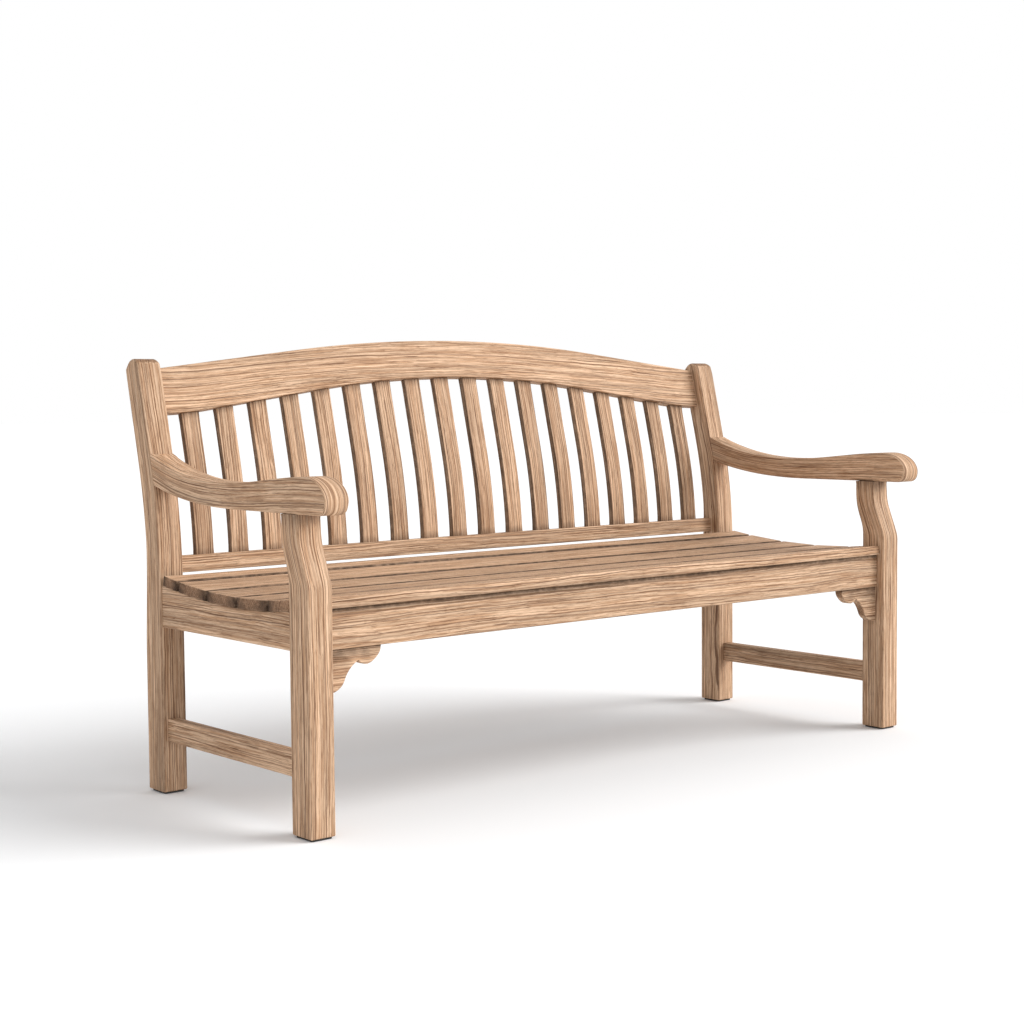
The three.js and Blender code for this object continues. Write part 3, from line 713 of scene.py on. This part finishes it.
def make_marked(name, scales, detail, shades, levels, rough, edge, dust, depth, relief):
    """A smooth material with fine marks between two shades and two roughnesses.

    levels, where given, sharpens the marks' colour.
    """
    material, tree, shader = new_material(name)
    place = add_node(tree, "ShaderNodeTexCoord").outputs["Object"]
    marks = cloud(tree, vector_calc(tree, "MULTIPLY", place, scales), detail)
    colour = blend(tree, ramp(tree, marks, *levels) if levels else marks, *shades)
    weathered(tree, shader, colour, ramp(tree, marks, *rough), edge, dust)
    emboss(tree, shader, marks, depth, relief)
    return material, shader


def make_screw_steel():
    """Stainless steel with turning marks and a little grime."""
    material, shader = make_marked(
        "screw_steel", (2400, 300, 2400), 2, ((0.44, 0.43, 0.41, 1), (0.66, 0.65, 0.62, 1)), None,
        (0.2, 0.8, 0.26, 0.46), {"Rubbed Highlight": (0.8, 0.8, 0.78, 1), "Amount": 0.4},
        {"Dust": (0.14, 0.10, 0.07, 1), "Amount": 0.35}, 0.2, 0.0001,
    )
    shader.inputs["Metallic"].default_value = 1.0
    return material


def make_glide_plastic():
    """Black moulded plastic, finely pitted and scuffed."""
    material, _ = make_marked(
        "glide_plastic", (900, 900, 900), 3, ((0.010, 0.010, 0.010, 1), (0.028, 0.027, 0.025, 1)),
        # edges lightened to grey: painted highlight along with scuffing
        (0.3, 0.7), (0.3, 0.7, 0.55, 0.8), {"Rubbed Highlight": (0.07, 0.07, 0.07, 1), "Amount": 0.5},
        {"Dust": (0.20, 0.17, 0.14, 1), "Amount": 0.3}, 0.4, 0.0003,
    )
    return material


finishes = {
    "oak": make_oak(
        "oak", (0.680, 0.462, 0.305, 1), (0.430, 0.250, 0.142, 1), (0.095, 0.036, 0.014, 1), 0.0060,
        1.0, 0.0006,
    ),
    "peg_oak": make_oak(
        "peg_oak", (0.66, 0.42, 0.25, 1), (0.46, 0.26, 0.14, 1), (0.19, 0.09, 0.045, 1), 0.0022,
        0.7, 0.0003,
    ),
    "screw_steel": make_screw_steel(),
    "glide_plastic": make_glide_plastic(),
}


# ---- the curve of the back
def back_point(s, d):
    """(y, z) at s up the back curve from the bend, and d behind the posts' front faces."""
    angle = back_angle(s)
    past = s if s < 0 else max(s - bend_arc, 0)
    radius = bend_radius - d
    y = post_front + bend_radius - radius * math.cos(angle) + past * math.sin(angle)
    z = bend_height + radius * math.sin(angle) + past * math.cos(angle)
    return Vector((y, z))


def back_frame(s):
    """Frame on the posts' front faces at s: x along the bench, y up the back, z towards the sitter."""
    y, z = back_point(s, 0)
    turn = Matrix.Rotation(math.pi / 2 - back_angle(s), 4, "X")
    return Matrix.Translation((0, y, z)) @ turn


def curve_up(d, low, high):
    count = max(1, math.ceil(abs(high - low) / curve_step))
    return [back_point(lerp(low, high, i / count), d) for i in range(count + 1)]


def placed(matrix):
    return lambda u, v, w: matrix @ Vector((u, v, w))


def beside(x):
    """Outlines in (y, z), extruded along the bench around x."""
    return lambda u, v, w: Vector((x + w, u, v))


def end_timber(node, outline, side, ease):
    """A timber as wide as the posts, in line with them."""
    return board(node, outline, beside(side * timber_middle), timber_width / 2, ease)


def back_angle(s):
    """Lean of the back at s up its curve."""
    return min(max(s / bend_radius, 0), back_rake)


# ---- crest rail, lower rail and back slats
def arch_drop(t, round_share, flare_share):
    """Share of an edge's rise that is lost at t, the distance from the middle over the half length."""
    slope = 2 / (1 + flare_share - round_share)
    if t < round_share:
        return slope * t * t / (2 * round_share)
    if t <= flare_share:
        return slope * (t - round_share / 2)
    return 1 - slope * (1 - t) ** 2 / (2 * (1 - flare_share))


def crest_low_at(x):
    t = min(abs(x) / half_inner, 1)
    return crest_bottom + crest_bottom_rise * (1 - arch_drop(t, crest_bottom_round, crest_bottom_flare))


def crest_high_at(x):
    t = min(abs(x) / half_inner, 1)
    return crest_top + crest_top_rise * (1 - arch_drop(t, crest_top_round, crest_top_flare))


def make_crest_rail():
    half = half_inner - fit_gap
    count = 96
    along = [lerp(-half, half, i / count) for i in range(count + 1)]
    low = [Vector((x, crest_low_at(x))) for x in along]
    high = [Vector((x, crest_high_at(x))) for x in reversed(along)]
    outline = rounded([low, line(low[-1], high[0]), high, line(high[-1], low[0])], [joint_corner] * 4)

    def ease(point, side):
        return joint_arris if half - abs(point.x) < 0.003 else arris

    middle = crest_recess + crest_thickness / 2
    up = back_frame(bend_arc)
    piece = board(
        "crest_rail", outline, lambda u, v, w: up @ Vector((u, v - bend_arc, w - middle)),
        crest_thickness / 2, ease,
    )

    def grain(point):
        s, d = up_the_back(point)
        middle_line = crest_low_at(point.x)
        return point.x, s - middle_line * 0.55, d

    finish_oak(piece, "crest_rail", grain, x_axis, 0.55)


def make_lower_back_rail():
    half_height, half_depth = lower_rail_height / 2, lower_rail_thickness / 2
    outline = box_outline(-half_height, half_height, -half_depth, half_depth, rail_arris)
    at = back_frame(lower_rail_middle)
    centre = lower_rail_recess + half_depth

    def place(u, v, w):
        return at @ Vector((w, u, -centre - v))

    piece = board("lower_back_rail", outline, place, half_inner - fit_gap, joint_arris)
    finish_oak(piece, "lower_back_rail", *along_x, 0.5)


def make_back_slats():
    bottom = lower_rail_middle + lower_rail_height / 2 + fit_gap
    length = crest_bottom - bottom
    near, far = back_slat_recess, back_slat_recess + back_slat_thickness
    count = math.ceil(length / 0.016)
    up = [Vector((i / count, near)) for i in range(count + 1)]
    front = [Vector((share.x * length, near)) for share in up]
    rear = [Vector((share.x * length, far)) for share in reversed(up)]
    ends = [line(front[-1], rear[0]), line(rear[-1], front[0])]
    outline = rounded([front, ends[0], rear, ends[1]], [joint_corner] * 4)

    def ease(point, side):
        return joint_arris if min(point.x, length - point.x) < 0.002 else slat_arris

    for i in range(back_slat_count):
        node = f"back_slat_{i + 1:02d}"
        low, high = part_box(node)
        x, half = (low.x + high.x) / 2, (high.x - low.x) / 2

        def place(u, v, w):
            top = crest_low_at(x + w) - fit_gap
            y, z = back_point(lerp(bottom, top, u / length), v)
            return Vector((x + w, y, z))

        # painted shade: darker on the side faces, which face the next slat, and at the ends where the slats
        # meet the rails
        def painted_shade(point):
            s, _ = up_the_back(point)
            top = crest_low_at(point.x)
            ends = 1 - smooth_step(0, 0.022, min(s - bottom, top - s))
            return max(0.75 * smooth_step(half - slat_arris, half, abs(point.x - x)), 0.6 * ends)

        piece = board(node, outline, place, half, ease)
        finish_oak(piece, node, grain_up_back, z_axis, 0.35, painted_shade)


# ---- seat
def seat_top_at(y):
    return seat_height + seat_radius - math.sqrt(seat_radius**2 - (y - seat_low) ** 2)


def seat_under_at(y):
    return seat_top_at(y) - seat_slat_thickness


def seat_strips():
    """(rear edge, front edge) of the slats, from the rear one to the front one."""
    rear = post_front - seat_to_post
    front = leg_front + front_slat_recess
    middle = (rear - front - rear_slat_width - front_slat_width - 4 * seat_slat_gap) / 3
    strips = []
    for width in (rear_slat_width, middle, middle, middle, front_slat_width):
        strips.append((rear, rear - width))
        rear -= width + seat_slat_gap
    return strips


strips = seat_strips()


def bed_height_at(y):
    for rear, front in strips:
        if front <= y <= rear:
            return lerp(seat_under_at(rear), seat_under_at(front), (rear - y) / (rear - front))
    return seat_under_at(y)


def seat_bed(rear, front):
    """Flats under the slats, from the rear edge to the front one."""
    inside = [y for strip in strips for y in strip if front + 0.001 < y < rear - 0.001]
    return [Vector((y, bed_height_at(y))) for y in (rear, *inside, front)]


def strip_frame(rear, front):
    """Frame on a slat's underside at its rear edge: x along the bench, y to the front, z up."""
    a = Vector((0, rear, seat_under_at(rear) + fit_gap))
    b = Vector((0, front, seat_under_at(front) + fit_gap))
    way = (b - a).normalized()
    across = Vector((1, 0, 0))
    up = way.cross(across)
    matrix = Matrix((across, way, up)).transposed().to_4x4()
    matrix.translation = a
    return matrix, (b - a).length


def make_seat_slat(node, rear, front, outline_of):
    matrix, width = strip_frame(rear, front)
    thickness = seat_slat_thickness
    flip = Matrix.Scale(-1, 4, (1, 0, 0))
    at = matrix @ flip

    def place(u, v, w):
        return at @ Vector((u, v, w + thickness / 2))

    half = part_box(node)[1].x
    foremost = front == strips[-1][1]

    def ease(point, side):
        if side < 0 or (foremost and point.y > width / 2):
            return rail_arris
        return lerp(rail_arris, seat_arris, smooth_step(0.004, 0.024, half - abs(point.x)))

    inverse = matrix.inverted()

    # painted shade: dark in the gaps between slats, and a little on the underside
    def painted_shade(point):
        local = inverse @ point
        depth = thickness - local.z
        edge = local.y if foremost else min(local.y, width - local.y)
        if edge < seat_arris:
            return smooth_step(0.0, 0.0004, depth)
        return 0.3 * smooth_step(thickness * 0.6, thickness, depth)

    piece = board(node, outline_of(width), place, thickness / 2, ease)
    finish_oak(piece, node, *along_x, 0.3, painted_shade)


def make_seat_slats():
    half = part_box("seat_slat_1")[1].x
    corner = seat_corner

    def plain(width):
        return box_outline(-half, half, 0, width, corner)

    for i, (rear, front) in enumerate(strips[:-1]):
        make_seat_slat(f"seat_slat_{i + 1}", rear, front, plain)

    def notched(width):
        """Plan of the front slat, cut round the front legs."""
        inner = half_inner - fit_gap
        rear, front = strips[-1]
        deep = (rear - (leg_rear + fit_gap)) / (rear - front) * width
        corners = [
            (-half, 0), (half, 0), (half, deep), (inner, deep), (inner, width), (-inner, width),
            (-inner, deep), (-half, deep),
        ]
        radii = [corner, corner, joint_corner, corner, corner, joint_corner, corner, corner]
        return polygon(corners, radii)

    make_seat_slat("front_seat_slat", *strips[-1], notched)


def dished_outline(rear, front, bottom, radius, end_radius):
    """Board below the seat: level underside, upright ends, and a top cut to the seat's flats."""
    bed = seat_bed(rear, front)
    top = join(*[line(bed[i], bed[i + 1]) for i in range(len(bed) - 1)])
    runs = [
        line((front, bottom), (rear, bottom)), line((rear, bottom), bed[0]), top,
        line(bed[-1], (front, bottom), 0.004),
    ]
    return rounded(runs, [radius, end_radius, end_radius, radius])


def make_side_timbers(name, side):
    """Side rail, low stretcher and seat bearer, whose outlines lie across the bench."""
    for node, rear, front in (
        (f"{name}_side_rail", post_front - fit_gap, leg_rear + fit_gap),
        (f"{name}_stretcher", post_front - fit_gap, leg_rear + fit_gap),
        (f"{name}_seat_bearer", None, None),
    ):
        low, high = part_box(node)
        x, half = (low.x + high.x) / 2, (high.x - low.x) / 2
        if node.endswith("bearer"):
            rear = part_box("rear_seat_rail")[0].y - fit_gap
            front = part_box("front_apron")[1].y + fit_gap
        if node.endswith("stretcher"):
            outline = box_outline(front, rear, low.z, high.z, joint_corner)
        else:
            outline = dished_outline(rear, front, low.z, joint_corner, joint_corner)
        middle = (rear + front) / 2
        reach = (rear - front) / 2 - 0.003

        def ease(point, side):
            return joint_arris if abs(point.x - middle) > reach else rail_arris

        piece = board(node, outline, beside(x), half, ease)
        finish_oak(piece, node, *along_y, 0.5)


def painted_shadow_under_seat(point):
    """Painted shadow along the top of a rail, just under the seat slats."""
    return 0.9 * (1 - smooth_step(0.004, 0.013, seat_under_at(point.y) - point.z))


def make_long_rails():
    """Front apron and rear seat rail, whose sections lie across the bench."""
    low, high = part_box("front_apron")
    apron = dished_outline(high.y, low.y, low.z, rail_arris, joint_corner)
    low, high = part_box("rear_seat_rail")
    rear = box_outline(low.y, high.y, low.z, high.z, rail_arris)
    for node, outline in (("front_apron", apron), ("rear_seat_rail", rear)):
        piece = board(node, outline, beside(0), half_inner - fit_gap, joint_arris)
        finish_oak(piece, node, *along_x, 0.45, painted_shadow_under_seat)


# ---- arms
def arm_runs():
    rear_top = arm_low_height + arm_rear_rise
    rear_under = arm_under_height + arm_under_rise

    def post_face_at(z):
        s = bend_radius * math.asin((z - bend_height) / bend_radius)
        return back_point(s, 0).x - fit_gap

    reach = post_face_at(rear_top) - neck_rear

    def at(share):
        return neck_rear + reach * share

    low, crown = arm_low_height, arm_low_height + arm_front_rise
    under = join(
        line((nose_front + nose_heel, arm_under_height), (at(0.35), arm_under_height), 0.02),
        bezier(
            (at(0.35), arm_under_height), (at(0.60), arm_under_height),
            (at(0.80), arm_under_height + arm_under_rise * 0.36),
            (post_face_at(rear_under), rear_under), 24,
        ),
    )
    steps = 6
    heights = [lerp(rear_under, rear_top, i / steps) for i in range(steps + 1)]
    rear = [Vector((post_face_at(z), z)) for z in heights]
    front_low = arm_under_height + nose_heel
    nose = (nose_front + nose_length, crown)
    top = join(
        bezier(rear[-1], (at(0.85), low + arm_rear_rise * 0.42), (at(0.66), low), (at(0.44), low), 28),
        bezier((at(0.44), low), (at(0.22), low), (at(0.02), crown - 0.001), nose, 28),
        bezier(
            nose, (nose_front + nose_length * 0.42, crown),
            (nose_front, lerp(front_low, crown, 0.52)), (nose_front, front_low), 18,
        ),
        quadratic(
            (nose_front, front_low), (nose_front, arm_under_height),
            (nose_front + nose_heel, arm_under_height), 10,
        ),
    )
    return under, rear, top


def make_arm(name, side):
    node = f"{name}_arm"
    under, rear, top = arm_runs()
    outline = rounded([under, rear, top], [joint_corner, joint_corner, 0])
    rear_face = rear[0].x
    start = nose_front + nose_length

    def middle_line(y):
        """Height halfway between the arm's underside and top."""
        low = near_height(under, y)
        high = near_height(top, y)
        return (low + high) / 2

    def ease(point, end):
        if point.x > rear_face - 0.004:
            return joint_arris
        if end != -side:
            return arris
        # the inner edge is rounded along the underside and round the nose
        low = middle_line(point.x)
        past_nose = smooth_step(start - 0.03, start + 0.01, point.x)
        widest = lerp(nose_inner_arris, arm_inner_arris, past_nose)
        return lerp(widest, arris, smooth_step(low - 0.004, low + 0.022, point.y))

    piece = end_timber(node, outline, side, ease)
    core = middle_line(start) - arm_under_height
    centre = side * timber_middle

    def bent(point):
        """1 on the top, nose and underside, falling to 0 on the arm's flat sides."""
        return 1 - smooth_step(timber_width / 2 - 0.003, timber_width / 2, abs(point.x - centre))

    def fall(point):
        """How far round the nose a point lies: 0 on its top, and a quarter turn at the front."""
        return math.atan2(max(start - point.y, 0), point.z - arm_under_height - core)

    def grain(point):
        # the sides are cut straight through, and the lines bend down over the nose
        along, across = point.y, point.z - middle_line(max(point.y, start))
        if point.y < start:
            along = lerp(along, start - fall(point) * core, bent(point))
            across = lerp(across, core, bent(point))
        return along, across, point.x

    def grain_way(point):
        angle = fall(point) * bent(point)
        return Vector((0, math.cos(angle), math.sin(angle)))

    finish_oak(piece, node, grain, grain_way, 0.7)


def near_height(run, y):
    """Height of a run at y."""
    for a, b in zip(run, run[1:]):
        if min(a.x, b.x) <= y <= max(a.x, b.x) and a.x != b.x:
            return lerp(a.y, b.y, (y - a.x) / (b.x - a.x))
    return run[0].y if abs(run[0].x - y) < abs(run[-1].x - y) else run[-1].y


def arm_screw_frame(side):
    """On the posts' front faces at the arm's joint, with z to the rear."""
    at = back_frame(arm_join) @ Matrix.Rotation(math.pi, 4, "X")
    return Matrix.Translation((side * timber_middle, 0, 0)) @ at


# ---- posts and front legs
def make_post(name, side):
    node = f"{name}_back_post"
    foot = line((post_front, leg_foot), (post_rear, leg_foot))
    low = back_point(post_taper_end * 0.27, post_upper_depth)
    taper_end = back_point(post_taper_end, post_upper_depth)
    taper_middle = (post_taper_start + bend_height) / 2
    rear = join(
        line((post_rear, leg_foot), (post_rear, post_taper_start)),
        bezier((post_rear, post_taper_start), (post_rear, taper_middle), low, taper_end, 20),
        curve_up(post_upper_depth, post_taper_end, bend_arc),
        line(back_point(bend_arc, post_upper_depth), back_point(post_top, post_upper_depth), 0.02),
    )
    crown = back_point(post_top + 2 * post_crown, post_upper_depth / 2)
    top = quadratic(rear[-1], crown, back_point(post_top, 0), 12)
    front = join(
        line(back_point(post_top, 0), back_point(bend_arc, 0), 0.02), curve_up(0, bend_arc, 0),
        line((post_front, bend_height), (post_front, leg_foot)),
    )
    outline = rounded([foot, rear, top, front], [foot_corner, post_top_corner, post_top_corner, foot_corner])
    shoulder = back_point(post_top, 0).y

    def ease(point, side):
        return lerp(arris, post_top_arris, smooth_step(shoulder - 0.022, shoulder - 0.004, point.y))

    piece = end_timber(node, outline, side, ease)
    pegs = ("crest", "lower_rail", "rear_seat_rail", "side_rail_rear")
    cut(piece, [*peg_holes(name, pegs), screw_hole(side)])
    finish_oak(piece, node, grain_up_back, z_axis, 0.5)


def make_leg(name, side):
    node = f"{name}_front_leg"
    low, high = leg_kink_low, leg_kink_high
    lean = 0.007
    neck_low = (neck_rear, leg_top - 0.024)
    foot = line((leg_front, leg_foot), (leg_rear, leg_foot))
    rear = join(
        line((leg_rear, leg_foot), (leg_rear, low)),
        bezier((leg_rear, low), (leg_rear, low + 0.042), (neck_rear, high - 0.028), neck_low, 18),
        line(neck_low, (neck_rear, leg_top), 0.008),
    )
    top = line((neck_rear, leg_top), (neck_front, leg_top))
    front = join(
        line((neck_front, leg_top), (neck_front - 0.002, high + 0.022), 0.012),
        quadratic(
            (neck_front - 0.002, high + 0.022), (neck_front - 0.004, high + 0.002),
            (neck_front - lean - 0.003, high - 0.012), 6,
        ),
        line((neck_front - lean - 0.003, high - 0.012), (leg_front + 0.005, low + 0.012), 0.012),
        quadratic((leg_front + 0.005, low + 0.012), (leg_front, low), (leg_front, low - 0.014), 6),
        line((leg_front, low - 0.014), (leg_front, leg_foot)),
    )
    outline = rounded([foot, rear, top, front], [foot_corner, joint_corner, joint_corner, foot_corner])

    def ease(point, side):
        return joint_arris if leg_top - point.y < 0.003 else arris

    piece = end_timber(node, outline, side, ease)
    cut(piece, peg_holes(name, ("apron", "side_rail_front")))

    def grain(point):
        lean_in = near_height([Vector((p.y, p.x)) for p in reversed(front)], point.z)
        return point.z, point.y - lean_in, point.x

    # painted shade: darker towards the top of the leg, under the arm
    def painted_shade(point):
        return 0.6 * (1 - smooth_step(0.0, 0.035, leg_top - point.z))

    finish_oak(piece, node, grain, z_axis, 0.5, painted_shade)


# ---- corner brackets
def make_bracket(name, side):
    """Scrolled bracket in the corner between the apron's underside and the leg."""
    node = f"{name}_corner_bracket"
    low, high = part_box(node)
    width, drop = high.x - low.x, high.z - low.z

    def at(across, down):
        """A point given as shares of the bracket's width and drop."""
        return width * across, -drop * down

    scroll = join(
        quadratic(at(0, 1), at(0.26, 0.97), at(0.33, 0.73)),
        quadratic(at(0.33, 0.73), at(0.39, 0.50), at(0.52, 0.36)),
        line(at(0.52, 0.36), at(0.58, 0.30)),
    )
    lobe = join(
        quadratic(at(0.58, 0.30), at(0.72, 0.50), at(0.88, 0.32)),
        quadratic(at(0.88, 0.32), at(1, 0.18), at(1, 0.07)), line(at(1, 0.07), at(1, 0)),
    )
    runs = [scroll, lobe, line(at(1, 0), at(0, 0)), line(at(0, 0), at(0, 1))]
    outline = rounded(runs, [joint_corner] * 4)
    start = low.x if side < 0 else high.x
    middle = (low.y + high.y) / 2

    def place(u, v, w):
        return Vector((start - side * u, middle + w, high.z + v))

    def ease(point, end):
        return joint_arris if min(point.x, -point.y) < 0.001 else rail_arris

    # painted shadow: darker along the top of the bracket, under the apron
    def painted_shade(point):
        return 0.85 * (1 - smooth_step(0.001, 0.012, high.z - point.z))

    piece = board(node, outline, place, (high.y - low.y) / 2, ease)
    finish_oak(piece, node, *along_x, 0.8, painted_shade)


# ---- pegs, screws and glides
def peg_place(node):
    """(frame, length): the frame is on the peg's inner end, with z out of the wood."""
    low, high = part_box(node)
    centre = (low + high) / 2
    size = high - low
    side = 1 if centre.x > 0 else -1
    if node.endswith("crest_peg") or node.endswith("_lower_rail_peg"):
        s, _ = up_the_back(centre)
        angle = back_angle(s)
        length = (size.y - 2 * peg_radius * math.sin(angle)) / math.cos(angle)
        out = Vector((0, math.cos(angle), -math.sin(angle)))
    elif "side_rail" in node:
        length, out = size.x, Vector((-side, 0, 0))
    else:
        length, out = size.y, Vector((0, 1, 0))
    turn = out.to_track_quat("Z", "Y").to_matrix().to_4x4()
    return Matrix.Translation(centre - out * length / 2) @ turn, length


def peg_holes(name, pegs):
    holes = []
    for peg in pegs:
        matrix, length = peg_place(f"{name}_{peg}_peg")
        radius, mouth = peg_radius + fit_gap, length + 0.02
        profile = [(0, -fit_gap), (radius, -fit_gap), (radius, mouth), (0, mouth)]
        holes.append(turned("hole", profile, placed(matrix)))
    return holes


def screw_hole(side):
    neck = post_upper_depth - peg_sink - screw_head_height
    head = neck + screw_head_height
    thin, wide = screw_radius + fit_gap, screw_head_radius + fit_gap
    start, mouth = -0.004, 0.09
    profile = [
        (0, start), (thin, start), (thin, neck - fit_gap), (wide, head - fit_gap), (wide, mouth),
        (0, mouth),
    ]
    return turned("hole", profile, placed(arm_screw_frame(side)))


def make_peg(node):
    """Riven oak peg with a hand-cut, slightly domed end."""
    matrix, length = peg_place(node)
    chamfer = 0.0009
    dome = 0.0004
    profile = [(0, 0), (peg_radius - chamfer, 0), (peg_radius, chamfer)]
    profile.append((peg_radius, length - chamfer - dome))
    steps = 5
    for i in range(1, steps + 1):
        angle = math.pi / 2 * i / steps
        radius = peg_radius - chamfer * (1 - math.cos(angle))
        profile.append((radius, length - dome - chamfer * (1 - math.sin(angle))))
    profile += [(peg_radius * 0.45, length - dome * 0.25), (0, length)]
    piece = turned(node, profile, placed(matrix))
    way = (matrix.to_3x3() @ Vector((0, 0, 1))).normalized()
    inverse = matrix.inverted()

    def grain(point):
        local = inverse @ point
        return local.z, local.x, local.y

    finish_oak(piece, node, grain, way, 0.5, slot="peg_oak")


def make_arm_screw(name, side):
    """Countersunk screw with a crossed recess."""
    node = f"{name}_arm_screw"
    head = post_upper_depth - peg_sink
    neck = head - screw_head_height
    rim = 0.0004
    profile = [
        (0, -screw_reach), (screw_radius * 0.35, -screw_reach + 0.0015),
        (screw_radius, -screw_reach + 0.006), (screw_radius, neck), (screw_head_radius, head - rim),
        (screw_head_radius - rim, head), (0, head),
    ]
    piece = turned(node, profile, placed(arm_screw_frame(side)), 48)
    slot_half, slot_width, slot_depth = 0.0034, 0.0006, 0.0016
    tools = []
    for turn in (math.radians(25), math.radians(115)):
        at = arm_screw_frame(side) @ Matrix.Rotation(turn, 4, "Z")
        slot = box_outline(-slot_half, slot_half, -slot_width, slot_width, 0.0003)
        place = placed(at @ Matrix.Translation((0, 0, head)))
        tools.append(board("slot", slot, place, slot_depth, 0.0002))
    cut(piece, tools)
    dress(piece, node, "screw_steel")


def make_glide(node):
    low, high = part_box(node)
    outline = box_outline(low.x, high.x, low.y, high.y, 0.004)
    middle = (low.z + high.z) / 2
    half = (high.z - low.z) / 2
    piece = board(node, outline, lambda u, v, w: Vector((u, v, middle + w)), half, 0.0009)
    dress(piece, node, "glide_plastic")


# ---- the whole bench
make_crest_rail()
make_lower_back_rail()
make_back_slats()
make_seat_slats()
make_long_rails()
for name, side in sides.items():
    make_post(name, side)
    make_leg(name, side)
    make_arm(name, side)
    make_side_timbers(name, side)
    make_bracket(name, side)
    make_arm_screw(name, side)
    for peg in ("crest", "lower_rail", "side_rail_front", "side_rail_rear", "apron", "rear_seat_rail"):
        make_peg(f"{name}_{peg}_peg")
    for place in ("front", "rear"):
        make_glide(f"{name}_{place}_foot_glide")


# ---- floor, light and camera
def make_floor():
    half = 60
    bm = bmesh.new()
    bmesh.ops.create_grid(bm, x_segments=1, y_segments=1, size=half)
    mesh = bpy.data.meshes.new("floor")
    bm.to_mesh(mesh)
    bm.free()
    floor = add_to_scene("floor", mesh)
    material, _, shader = new_material("studio_floor")
    shader.inputs["Base Color"].default_value = (0.92, 0.925, 0.93, 1)
    shader.inputs["Roughness"].default_value = 0.9
    shader.inputs["Specular IOR Level"].default_value = 0.1
    mesh.materials.append(material)
    floor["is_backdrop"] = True


def make_world():
    world = bpy.data.worlds.new("studio")
    bpy.context.scene.world = world
    world.use_nodes = True
    tree = world.node_tree
    seen = add_node(tree, "ShaderNodeLightPath").outputs["Is Camera Ray"]
    strength = calc(tree, "MULTIPLY_ADD", seen, 0.25, 0.75)
    background = tree.nodes["Background"]
    tint = blend(tree, seen, (0.985, 0.985, 0.99, 1), (1.0, 1.0, 1.0, 1))
    tree.links.new(tint, background.inputs["Color"])
    tree.links.new(strength, background.inputs["Strength"])


def make_key_light(way, strength, softness):
    """Distant light that shines along way, from a disc that is softness degrees across."""
    lamp = bpy.data.lights.new("key", "SUN")
    lamp.energy = strength
    lamp.angle = math.radians(softness)
    lamp.color = (0.985, 0.985, 0.985)
    key = add_to_scene("key", lamp)
    key.rotation_mode = "QUATERNION"
    key.rotation_quaternion = Vector(way).to_track_quat("-Z", "Y")


def make_camera():
    camera = add_to_scene("camera", bpy.data.cameras.new("camera"))
    yaw, pitch, roll = -0.699, -0.0637, -0.0087
    camera.location = (-2.79482, -3.19398, 0.854815)
    turn = Matrix.Rotation(yaw, 4, "Z") @ Matrix.Rotation(math.pi / 2 + pitch, 4, "X")
    camera.rotation_mode = "QUATERNION"
    camera.rotation_quaternion = (turn @ Matrix.Rotation(roll, 4, "Z")).to_quaternion()
    camera.data.sensor_width = 36
    camera.data.lens = 63.03
    camera.data.clip_start = 0.05
    camera.data.clip_end = 200
    bpy.context.scene.camera = camera


make_floor()
make_world()
make_key_light(way=(-0.66, 0.56, -0.50), strength=3.0, softness=42)
make_camera()
bpy.context.scene.view_settings.view_transform = "Standard"

boxes = {"cad": cad_box, "visual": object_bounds()}
{key: [list(corner) for corner in box] for key, box in boxes.items()}
